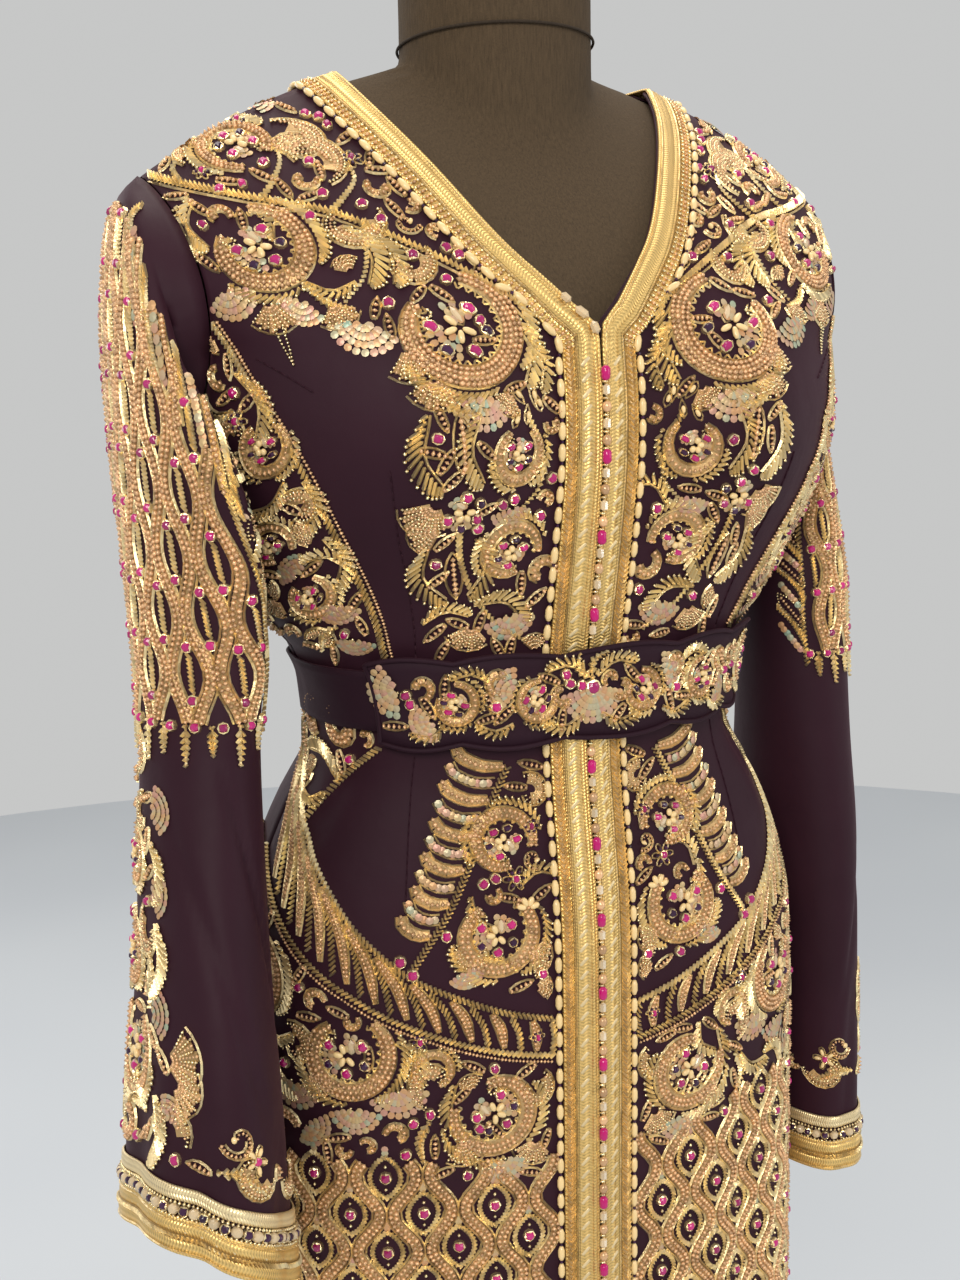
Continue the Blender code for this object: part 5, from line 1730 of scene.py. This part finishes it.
# ---------------------------------------------------------------- braids
BRAID_PROFILE = (          # across the braid and height, in millimetres
    (0.3, 0.2), (0.5, 1.5), (1.2, 1.8), (1.7, 1.1), (2.1, 1.0), (2.6, 1.5), (3.2, 1.5), (3.6, 1.1),
    (4.2, 1.35), (7.5, 1.6), (10.6, 1.35), (11.1, 0.9), (11.6, 1.7), (12.1, 1.0), (12.6, 1.7),
    (13.1, 1.0), (13.6, 1.7), (14.2, 0.9), (17.4, 1.0), (20.6, 0.9), (21.2, 1.5), (21.9, 1.5),
    (22.5, 0.2),
)
BAR_PITCH, WOVEN_FROM, WOVEN_TO = 0.0088, 0.0062, 0.0124
BRAID_SKIN = 0.0006         # thickness of the woven ground's shell
V_CRYSTALS = (0.002, 0.011, 0.021)          # distance up the edge from the bottom of the V
BRAID_CORDS = ((0.0172, 1), (0.0206, -1))   # across, and the hand of the twist
BRAID_BEADS = ((0.0166, "seed"), (0.0190, "peach"), (0.0213, "seed"))       # above the V
# the line kind is dark gold, painted shade along the braid's grooves
BRAID_LINES = (             # across, width and kind of the lines that run along the braid
    (0.0022, 0.0013, "wire"), (0.0046, 0.0008, "line"), (0.0056, 0.0008, "line"),
    (0.0131, 0.0009, "line"), (0.0142, 0.0013, "wire"), (0.0153, 0.0009, "line"),
)


def braid(side, word):
    """One braid with its ribs, satin bars, herringbone cord and beads."""
    sheet = braid_sheet(side)
    levels = np.linspace(0.0005, sheet.levels[-1] - 0.001, 230)
    across, high = np.array(BRAID_PROFILE).T / 1000
    order = slice(None) if side > 0 else slice(None, None, -1)
    u, v = np.meshgrid(side * across[order], levels)
    points, _, _, out = sheet.at(u, v)
    grid = points + out * (high[order] * 0.75)[None, :, None]
    uv = np.stack([np.abs(u), v], axis=-1).reshape(-1, 2)
    band = put(shell("braid_" + word, grid, BRAID_SKIN, FINISHES["woven"], uv=uv), "gold_braid",
               "neck_band_" + word, "front_band_" + word)
    pen = Pen(sheet, "braid_trim_" + word, side=side)
    top, end = sheet.front_end - 0.006, sheet.levels[-1] - 0.002
    pen.lift = 0.0009
    for w, wide, kind in BRAID_LINES:
        pen.chain(np.array([(w, 0.002), (w, end / 2), (w, end)]), wide, kind=kind)
    pen.lift = 0.0006
    centre = sum(w for w, _ in BRAID_CORDS) / 2
    pen.bed(upright(centre, 0.002, top), 0.0070, 0.0120)
    for w, hand in BRAID_CORDS:
        pen.rope(upright(w, 0.002, top), 0.0035, 0.0032, 40, 0.0015, hand=hand, kind="cord")
    for w, kind in BRAID_BEADS:
        pen.beads(upright(w, top + 0.002, end), 0.0025, kind)
    pen.lift = 0.0009
    middle = (WOVEN_FROM + WOVEN_TO) / 2
    reach = (WOVEN_TO - WOVEN_FROM) / 2
    heights = np.arange(0.006, top, BAR_PITCH)
    start = paired(middle - reach * side, heights - reach)
    finish = paired(middle + reach * side, heights + reach)
    pen.bars("satin_bar", start, finish, 0.0034, 0.0012)
    if side < 0:
        for distance in V_CRYSTALS:
            pen.dots("crystal", (0.0014, sheet.front_end + distance), 0.0058, 0.0050,
                     heading=(0, 1), long=0.0072)
    return sheet, band


BUTTON_SIZE = (0.0086, 0.0062, 0.0058)      # up, across and out, as are the next two
CRYSTAL_SIZE, CRYSTAL_SEAT = (0.0067, 0.0060, 0.0050), 0.0054
CENTRE_SPACER = (0.0024, 0.0046, 0.0036)
CENTRE_ROW = ("clear_round", "peach_round", "clear_round", "peach_round")   # between two buttons


def button_names():
    """The solids that the bright pink beads stand for."""
    return sorted(o.name for o in bpy.data.objects if o.name.startswith("button_"))


def centre_beads(sheet):
    """Bright pink beads on the meeting edges, with crystal beads and spacers between them."""
    covered = BELT_PANEL_TALL / 2 + BUTTON_CLEAR
    heights = np.arange(BUTTON_TOP, BUTTON_LOW, -BUTTON_PITCH)
    edge = sheet.at(np.full(len(sheet.levels), SEAM), sheet.levels)[0]

    def seat(z, reach):
        y = np.interp(z, edge[:, 2], edge[:, 1]) - BRAID - reach * 0.55
        return np.stack([np.zeros_like(y), y, z], axis=-1)

    def lay(kind, middle, size):
        up, right, front = size
        add("closure", kind, middle, np.array((0, 0, up)), np.array((right, 0, 0)),
            np.array((0, -front, 0)))

    kept = heights[np.abs(heights - WAIST) > covered]
    lay("button", seat(kept, BUTTON_SIZE[2]), BUTTON_SIZE)
    spaces = len(CENTRE_ROW) + 1
    for z in heights:
        for place, kind in enumerate(CENTRE_ROW, 1):
            spot = z - BUTTON_PITCH * place / spaces
            if abs(spot - WAIST) > covered - 0.006:
                lay(kind, seat(np.array([spot]), CRYSTAL_SEAT), CRYSTAL_SIZE)
        gaps = z - BUTTON_PITCH * (np.arange(spaces) + 0.5) / spaces
        gaps = gaps[np.abs(gaps - WAIST) > covered - 0.006]
        if len(gaps):
            lay("seed", seat(gaps, 0.0034), CENTRE_SPACER)


# ---------------------------------------------------------------- belt
BELT_MOTIFS = (
    ("comb", 0.003, 0.0115, 10, 0.66), ("comb", 0.006, -0.0125, -4, 0.62, -1),
    ("open_ring", 0.034, -0.001, 160, 0.50, -1), ("comma", 0.020, 0.0020, 40, 0.62),
    ("jewels", 0.036, 0.000, 30, 0.66), ("comb", 0.050, -0.0145, 4, 0.52, -1),
    ("comma", 0.058, 0.0130, 90, 0.72), ("shell", 0.050, 0.0060, 20, 0.80),
    ("stone", 0.060, -0.0030), ("pod", 0.064, 0.0000, 70, 0.60),
    ("comb", 0.064, 0.0130, 4, 0.56), ("open_ring", 0.084, 0.000, 20, 0.50),
    ("jewels", 0.084, 0.000, 100, 0.60), ("shell", 0.098, -0.010, 330, 0.75),
    ("comma", 0.104, 0.010, 60, 0.66, -1), ("comb", 0.090, -0.0145, 352, 0.50, -1),
    ("stone", 0.110, 0.000, 0, 0.9),
)
PIPING_WIDE, BELT_PANEL_WALL = 0.0030, 0.0018
BELT_SHEET_HALF, BELT_SHEET_TURN, BELT_SHEET_STEPS = 0.032, 85, 80
BELT_FILL_HALF, BELT_FILL_END = 0.0175, 0.007
WRAP_PULL = 0.0005          # by which the wrap's cloth sinks and ripples


def belt():
    """The plain wrap, the scalloped panel with its piping, and the panel's beadwork."""
    half = BELT_WRAP_TALL / 2
    rows, columns = 9, 160
    wrap = belt_rows(0, 360, half, rows, columns, closed=True)
    turn = np.linspace(0, 2 * np.pi, columns, endpoint=False)
    share = np.linspace(-1, 1, rows)[:, None]
    pull = WRAP_PULL * np.sin(7 * turn + 2.2 * share) * (1 - share ** 2)
    wrap -= outward(wrap, closed=True) * (pull + WRAP_PULL * (1 - share ** 2))[..., None]
    wrap = put(shell("belt_wrap_cloth", wrap, BELT_WRAP_WALL * 0.9, FINISHES["velvet"],
                     closed=True), "crepe", "belt_wrap")
    columns = 150
    along = np.linspace(0, 1, columns)
    wave = np.abs(np.sin(np.pi * BELT_SCALLOPS * along))
    edge = BELT_PANEL_TALL / 2 - BELT_SCALLOP_DEPTH * (1 - wave)
    low = BELT_WRAP_WALL + LAYER
    panel = belt_rows(BELT_PANEL_FROM, BELT_PANEL_TO, edge, 8, columns, low)
    plain = put(shell("belt_panel_cloth", panel, BELT_PANEL_WALL, FINISHES["velvet"]),
                "belt_velvet", "belt_panel")
    face = panel + outward(panel) * BELT_PANEL_WALL
    outline = np.concatenate([face[0], face[1:, -1], face[-1, ::-1][1:], face[::-1, 0][1:-1]])
    piping = put(tube("belt_piping", outline, PIPING_WIDE / 2, FINISHES["velvet"]), "belt_velvet")
    levels = np.arange(-BELT_SHEET_HALF, BELT_SHEET_HALF + 0.0001, 0.002)
    grid = belt_rows(-BELT_SHEET_TURN, BELT_SHEET_TURN, BELT_SHEET_HALF, len(levels),
                     2 * BELT_SHEET_STEPS + 1, low + BELT_PANEL_WALL)
    sheet = Sheet(levels, grid, [BELT_SHEET_STEPS] * len(levels), half=0.19)
    for side, _ in SIDES:
        scatter(Pen(sheet, "belt_beads", side=side), BELT_MOTIFS)
    pen = Pen(sheet, "belt_beads")
    centre = pen.local(0, 0.004, -90)
    centre.shells(0.019, 150, 5)
    centre.stone((0, 0), 0.0085)
    for turn in (60, 120):
        pen.local(0, 0.010, turn).leaf(0.018, 0.007)
    start, end = sheet_reach(sheet, panel)
    fill(pen, [(start + BELT_FILL_END, -BELT_FILL_HALF), (end - BELT_FILL_END, -BELT_FILL_HALF),
               (end - BELT_FILL_END, BELT_FILL_HALF), (start + BELT_FILL_END, BELT_FILL_HALF)], 15)
    return wrap, plain, piping


def sheet_reach(sheet, panel):
    """The panel's ends as metres round the belt's sheet."""
    middle = sheet.points[sheet.points.shape[0] // 2]
    ends = []
    for column in (0, -1):
        away = np.linalg.norm(middle - panel[panel.shape[0] // 2, column], axis=1)
        ends.append(int(np.argmin(away)) * sheet.step - sheet.half)
    return ends


def tube(name, path, radius, finish, sides=8):
    """A round cord along a closed path of close points."""
    ahead = np.roll(path, -1, axis=0) - np.roll(path, 1, axis=0)
    ahead /= np.linalg.norm(ahead, axis=1, keepdims=True)
    first = unit(np.cross(ahead, path - path.mean(axis=0)))
    second = np.cross(ahead, first)
    turn = 2 * np.pi * np.arange(sides) / sides
    grid = (path[:, None] + radius * (first[:, None] * np.cos(turn)[None, :, None]
                                      + second[:, None] * np.sin(turn)[None, :, None]))
    grid = np.concatenate([grid, grid[:1]])
    return mesh_object(name, grid.reshape(-1, 3), grid_faces(len(grid), sides, closed=True), finish)


# ---------------------------------------------------------------- cuffs
CUFF_PROFILE = (           # distance up from the sleeve's end and height, in millimetres
    (0.2, 0.2), (0.6, 1.3), (1.6, 1.6), (2.3, 1.0), (2.8, 1.6), (6.4, 2.2), (9.8, 1.6), (10.4, 0.9),
    (11.0, 1.5), (12.4, 1.5), (13.0, 0.9), (13.6, 1.6), (16.8, 2.0), (20.0, 1.6), (20.6, 0.9),
    (21.2, 1.5), (22.2, 1.4), (22.7, 0.2),
)
EDGE_PROFILE = (           # the narrow pale braid over the row of stones
    (33.6, 0.1), (34.2, 1.2), (36.2, 1.5), (37.6, 0.9), (39.0, 1.5), (41.0, 1.3), (41.8, 0.1),
)
CUFF_BRAID_WIDE, EDGE_SKIN = 0.0225, 0.0005
# Distances up from the sleeve's end: stones, beads, the middle cord, threads, and satin bars.
CUFF_STONES, CUFF_SEEDS, CUFF_CORD = 0.0282, (0.0238, 0.0326), 0.0117
# the line kind is dark gold, painted shade along the cuff braid's grooves
CUFF_LINES = ((0.0024, "wire"), (0.0102, "line"), (0.0133, "line"), (0.0212, "wire"))
CUFF_BARS, CUFF_BAR_PITCH = (0.0064, 0.0168), 0.0094


def cuff_ring(sheet, profile, columns=110):
    """A ring round a sleeve's end with the braid's profile, and its weave coordinates."""
    up, high = np.array(profile).T / 1000
    round_way = np.linspace(0, 1, columns, endpoint=False)
    rows = []
    for place, rise in zip(up, high):
        v = sheet.levels[0] + 0.0005 + place
        u = (round_way - 0.5) * sheet.girth(v)
        points, _, _, out = sheet.at(u, np.full(columns, v))
        rows.append(points + out * (LAYER + rise * 0.8))
    uv = np.stack(np.broadcast_arrays(up[:, None], round_way[None] * 0.5), axis=-1).reshape(-1, 2)
    return np.array(rows), uv


def cuff(side, word, sheet):
    """The wide braid at a sleeve's end, a row of stones over it and a narrow pale braid."""
    grid, uv = cuff_ring(sheet, CUFF_PROFILE)
    wide = put(shell("cuff_braid_cloth_" + word, grid, BRAID_SKIN, FINISHES["woven"],
                     closed=True, uv=uv), "gold_braid", "cuff_braid_" + word)
    grid, uv = cuff_ring(sheet, EDGE_PROFILE)
    edge = put(shell("cuff_edge_cloth_" + word, grid, EDGE_SKIN, FINISHES["pale"],
                     closed=True, uv=uv), "gold_braid")
    sheet.girth(sheet.levels[0] + 0.011)
    pen = Pen(sheet, "cuff_beads_" + word, side=side, lift=LAYER)
    low = sheet.levels[0]

    def round_line(place):
        reach = sheet.girth(low + place) / 2 - 0.0005
        return paired(np.linspace(-reach, reach, 61), low + place)

    points, _, _ = pen.spaced(round_line(CUFF_STONES), 0.0060)
    pen.dots("clear", points[::2], 0.0060, 0.0042, heading=(1, 0), long=0.0066)
    pen.stone(points[1::2], 0.0052, "dark")
    for place in CUFF_SEEDS:
        pen.beads(round_line(place), 0.0025, "seed")
    pen.lift = LAYER + 0.0012
    pen.rope(round_line(CUFF_CORD), 0.0032, 0.0026, 45, 0.0013)
    for place, kind in CUFF_LINES:
        pen.chain(round_line(place), 0.0013, kind=kind)
    girth = sheet.girth(low + 0.01)
    satin = np.arange(0, girth - 0.004, CUFF_BAR_PITCH)
    reach = girth / 2
    for place in CUFF_BARS:
        start = paired(satin - reach, low + place - 0.0022)
        pen.bars("satin_bar", start, start + (0.005, 0.0044), 0.0024, 0.0010)


# ---------------------------------------------------------------- dress form
def smooth_form():
    """The padded form, finer than its solid but with its flat ends, and the seam at its neck."""
    solid = bpy.data.objects["form"]
    mesh = solid.data.copy()
    thing = bpy.data.objects.new("form_cover", mesh)
    bpy.context.scene.collection.objects.link(thing)
    thing.matrix_world = solid.matrix_world.copy()
    mesh.materials.clear()
    mesh.materials.append(FINISHES["linen"])
    welded = bmesh.new()
    welded.from_mesh(mesh)
    bmesh.ops.remove_doubles(welded, verts=welded.verts, dist=1e-5)
    bmesh.ops.dissolve_limit(welded, angle_limit=0.002, verts=welded.verts, edges=welded.edges)
    sharp = welded.edges.layers.float.new("crease_edge")
    for face in welded.faces:
        face.smooth = abs(face.normal.z) < 0.999
        for edge in face.edges:
            edge[sharp] = max(edge[sharp], float(not face.smooth))
    welded.to_mesh(mesh)
    welded.free()
    finer = thing.modifiers.new("finer", "SUBSURF")
    finer.levels = finer.render_levels = 1
    turn = np.linspace(0, 2 * np.pi, 120, endpoint=False)
    radius, slope = NECK_RADIUS + 0.0012, 0.004
    ring = np.stack([radius * np.sin(turn), NECK_Y - radius * np.cos(turn),
                     NECK_SEAM_Z + slope * np.cos(turn)], axis=1)
    put(tube("neck_seam", ring, 0.0009, FINISHES["linen_seam"]), "form_linen")
    return put(thing, "form_linen", "form")


# ---------------------------------------------------------------- embroidery of the sleeves
# Places are metres round from the sleeve's outer line towards the front, and up; the top is 0.
SLEEVE_LATTICE_WIDE, SLEEVE_LATTICE_TALL = 0.030, 0.060
SLEEVE_GIRTH = 0.34         # round the sleeve for which the places across are given
SLEEVE_DROP = -0.060        # by which the left sleeve's strip lies lower
SLEEVE_BOX = (-0.104, 0.104, -0.244, -0.004)    # of the lattice
BACK_EDGE = ((-0.104, -0.240), (-0.104, -0.060), (-0.080, -0.030), (-0.030, -0.022))
STEPPED_EDGE = ((0.030, -0.022), (0.048, -0.034), (0.064, -0.050), (0.080, -0.062),
                (0.092, -0.082), (0.098, -0.110), (0.100, -0.240))
STEP_BARS = (               # kind, across, top and length
    ("rope", 0.036, -0.014, 0.050), ("sequins", 0.044, -0.026, 0.034),
    ("beads", 0.052, -0.026, 0.050), ("rope", 0.060, -0.034, 0.046),
    ("sequins", 0.068, -0.044, 0.034), ("beads", 0.076, -0.044, 0.050),
    ("rope", 0.084, -0.054, 0.046), ("sequins", 0.092, -0.064, 0.036),
    ("beads", 0.100, -0.070, 0.046), ("rope", 0.107, -0.080, 0.044),
)
SLEEVE_STRIP = (
    ("curl", -0.006, -0.274, 80, 0.70), ("curl", 0.006, -0.286, 260, 0.60),
    ("shell", 0.022, -0.292, 20, 0.80), ("ring", -0.008, -0.322, 70, 0.72),
    ("comb", 0.020, -0.310, 280, 0.80), ("shell", 0.026, -0.338, 10, 0.80),
    ("curl", 0.012, -0.350, 300, 0.80), ("comb", 0.030, -0.356, 262, 0.95),
    ("ring", -0.012, -0.382, 80, 0.78), ("leaf", 0.022, -0.376, 275, 0.90),
    ("curl", -0.034, -0.352, 100, 0.70, -1), ("shell", 0.032, -0.412, 25, 0.85),
    ("ring", 0.004, -0.440, 60, 1.02), ("fan", 0.050, -0.436, 10, 1.20),
    ("fan", 0.056, -0.450, 340, 0.95), ("comb_back", 0.026, -0.476, 195, 0.95),
    ("comma", -0.004, -0.488, 40, 1.10), ("comb", 0.040, -0.462, 262, 0.90),
    ("comb", -0.030, -0.430, 262, 0.95, -1), ("ring", -0.040, -0.470, 200, 0.70, -1),
    ("shell", 0.052, -0.470, 50, 0.60), ("curl", 0.066, -0.486, 160, 0.80),
    ("tendril", 0.086, -0.478, 30, 0.85), ("cream_posy", 0.108, -0.482, 0, 0.90),
    ("curl", 0.124, -0.492, 170, 0.80, -1), ("leaf", 0.086, -0.494, 350, 0.90),
    ("curl", 0.146, -0.494, 10, 0.70),
)
STRIP_AREA = ((-0.062, -0.262), (0.014, -0.262), (0.030, -0.300), (0.036, -0.352), (0.034, -0.400),
              (0.052, -0.430), (0.060, -0.462), (0.040, -0.504), (-0.062, -0.508))
CORNER_AREA = ((0.030, -0.474), (0.066, -0.470), (0.082, -0.484), (0.126, -0.472), (0.160, -0.484),
               (0.186, -0.508), (0.130, -0.508), (0.080, -0.506), (0.030, -0.506))


def step_bar(pen, kind, x, top, long):
    """One upright bar of the stepped edge."""
    line = upright(x, top - long, top)
    if kind == "rope":
        pen.rope(line, 0.0042, 0.0024, 46)
    elif kind == "beads":
        tube_line(pen, np.linspace(line[0], line[1], 12), 1)
    else:
        pen.discs(line)


def fringe_leaf(pen, kind, long):
    """One slanted leaf of the sleeve's fringe, along +x."""
    if kind == 0:
        pen.discs(np.array([(0.004, 0), (long * 0.85, 0)]))
    elif kind == 1:
        pen.chain(drop((long * 0.5, 0), 0, long, 0.0095, pointed=True, count=34), 0.0018, 0.0021,
                  "seed")
        pen.beads(np.array([(long * 0.14, 0), (long * 0.86, 0)]), 0.0026)
    else:
        pen.rope(curve([(0, 0), (long * 0.5, 0.0018), (long, 0)]), 0.0040, 0.0024, 46)


def sleeve_embroidery(sheet, side, word):
    """The lattice, the stepped front edge and its fringe, and the strip down to the cuff."""
    def zone(name):
        return Pen(sheet, "sleeve_" + name + "_" + word, side=-side)

    pen = zone("lattice")
    ease = sheet.girth(-0.17) / SLEEVE_GIRTH
    outline = [(x * ease, y) for x, y in (*STEPPED_EDGE, *BACK_EDGE)]
    left, right, low, high = SLEEVE_BOX
    ogee_lattice(pen, within(outline), (left * ease, right * ease, low, high),
                 SLEEVE_LATTICE_WIDE * ease, SLEEVE_LATTICE_TALL, slit_heart)
    for kind, x, top, long in STEP_BARS:
        step_bar(pen, kind, x * ease, top, long)
        step_bar(pen, kind, (-0.008 - x) * ease, top - 0.010, long * 0.7)
    fill(pen, outline, 21, ("ring", "comb", "comb_back", "shell"))
    pen = zone("edge")
    x = 0.106 * ease
    pen.rope(curve([(x - 0.006, -0.104), (x, -0.150), (x + 0.004, -0.200), (x, -0.250)]), 0.0042)
    for k, y in enumerate(np.arange(-0.096, -0.245, -0.0098)):
        fringe_leaf(pen.local(x + 0.002 - 0.004 * (y > -0.12), y, 52), k % 3, 0.030)
    for k, x_foot in enumerate(np.arange(-0.096, 0.100, 0.016) * ease):
        drop_end = pen.local(x_foot, -0.242, -90)
        drop_end.leaf(0.016 + 0.006 * (k % 2), 0.008, 0.0)
        drop_end.stone((0.001, 0.006), 0.0056)
    pen = zone("strip")
    shift = SLEEVE_DROP if side > 0 else 0.0
    scatter(pen, SLEEVE_STRIP, shift)
    fill(pen, [(u, v + shift) for u, v in STRIP_AREA], 22)
    fill(pen, [(u, v + shift) for u, v in CORNER_AREA], 23, ("shell",))


# ---------------------------------------------------------------- the other pieces, in order
for name, finish in (("neck_cap", "wood"), ("pole", "steel"), ("pole_collar", "steel"),
                     ("base", "steel")):
    solid = bpy.data.objects[name]
    solid.data.materials.clear()
    solid.data.materials.append(FINISHES[finish])
smooth_form()
braids = {side: braid(side, word) for side, word in SIDES}
centre_beads(braids[1][0])
sleeve_faces = {side: sleeve_sheet(side, sleeves[side]) for side, _ in SIDES}
for side, word in SIDES:
    cuff(side, word, sleeve_faces[side])
    sleeve_embroidery(sleeve_faces[side], side, word)
    braid_run, band = braids[side]
wrap, panel, piping = belt()
body = body_sheet()
for side, word in SIDES:
    front_embroidery(body, side, word)
flush({"closure_button": button_names()})


# ---------------------------------------------------------------- camera, light and floor
# The photograph's camera, fitted to it: where it stands, and its directions in the frame.
CAMERA_PLACE, CAMERA_LENS, CAMERA_SENSOR = (-0.39764, -0.88821, 1.24184), 56.41, 36.0
CAMERA_FORWARD = (0.38031654, 0.90624227, -0.18461927)
CAMERA_RIGHT = (0.92044096, -0.39036559, -0.02007852)
CAMERA_UP = (0.09026502, 0.16229494, 0.98260500)


def photo_camera():
    """The camera at the place and angle worked out for the photograph's."""
    made = bpy.data.objects.new("camera", bpy.data.cameras.new("camera"))
    turned = Matrix((Vector(CAMERA_RIGHT), Vector(CAMERA_UP), -Vector(CAMERA_FORWARD)))
    made.matrix_world = turned.transposed().to_4x4()
    made.location = CAMERA_PLACE
    made.data.sensor_fit = "HORIZONTAL"
    made.data.sensor_width = CAMERA_SENSOR
    made.data.lens = CAMERA_LENS
    bpy.context.scene.collection.objects.link(made)
    bpy.context.scene.camera = made


def soft_light(name, place, aim, width, power, colour=(1, 1, 1)):
    """A flat light, turned towards what it lights."""
    data = bpy.data.lights.new(name, "AREA")
    data.shape = "RECTANGLE"
    data.size, data.size_y = width
    data.energy = power
    data.color = colour
    made = bpy.data.objects.new(name, data)
    made.location = place
    made.rotation_euler = (Vector(aim) - Vector(place)).to_track_quat("-Z", "Y").to_euler()
    bpy.context.scene.collection.objects.link(made)


def floor():
    """A pale floor in rings that grow wider."""
    made = Finish("pale_floor", (0.60, 0.63, 0.66), 0.55)
    shade = made.noise(0.8, 2.0)
    made.to("Base Color", made.ramp(shade, [(0.3, (0.57, 0.60, 0.64)), (0.7, (0.63, 0.66, 0.69))]))
    turn = np.linspace(0, 2 * np.pi, 96, endpoint=False)
    reach = np.array([0.001, 1.0, 2.0, 3.4])
    points = [(r * math.sin(a), r * math.cos(a), 0) for r in reach for a in turn]
    thing = mesh_object("floor", points, grid_faces(len(reach), 96, closed=True, flip=True),
                        made.material)


photo_camera()
floor()
soft_light("key", (-1.6, -2.4, 2.6), (0, 0, 1.1), (1.2, 1.2), 50, (1.0, 0.96, 0.90))
soft_light("fill", (2.2, -1.6, 1.6), (0, 0, 1.0), (1.4, 1.8), 16)
soft_light("top", (0.2, 0.6, 3.0), (0, 0, 1.2), (1.6, 1.6), 30, (1.0, 0.93, 0.84))
soft_light("sparkle", (-0.8, -2.8, 2.1), (0, 0, 1.1), (0.25, 0.25), 9)
soft_light("rear", (-1.2, 2.2, 1.9), (0, 0, 1.1), (1.4, 1.8), 14)
world = bpy.data.worlds.new("studio")
world.use_nodes = True
world.node_tree.nodes["Background"].inputs["Color"].default_value = (0.75, 0.755, 0.75, 1)
world.node_tree.nodes["Background"].inputs["Strength"].default_value = 0.76
bpy.context.scene.world = world
bpy.context.scene.view_settings.view_transform = "Standard"
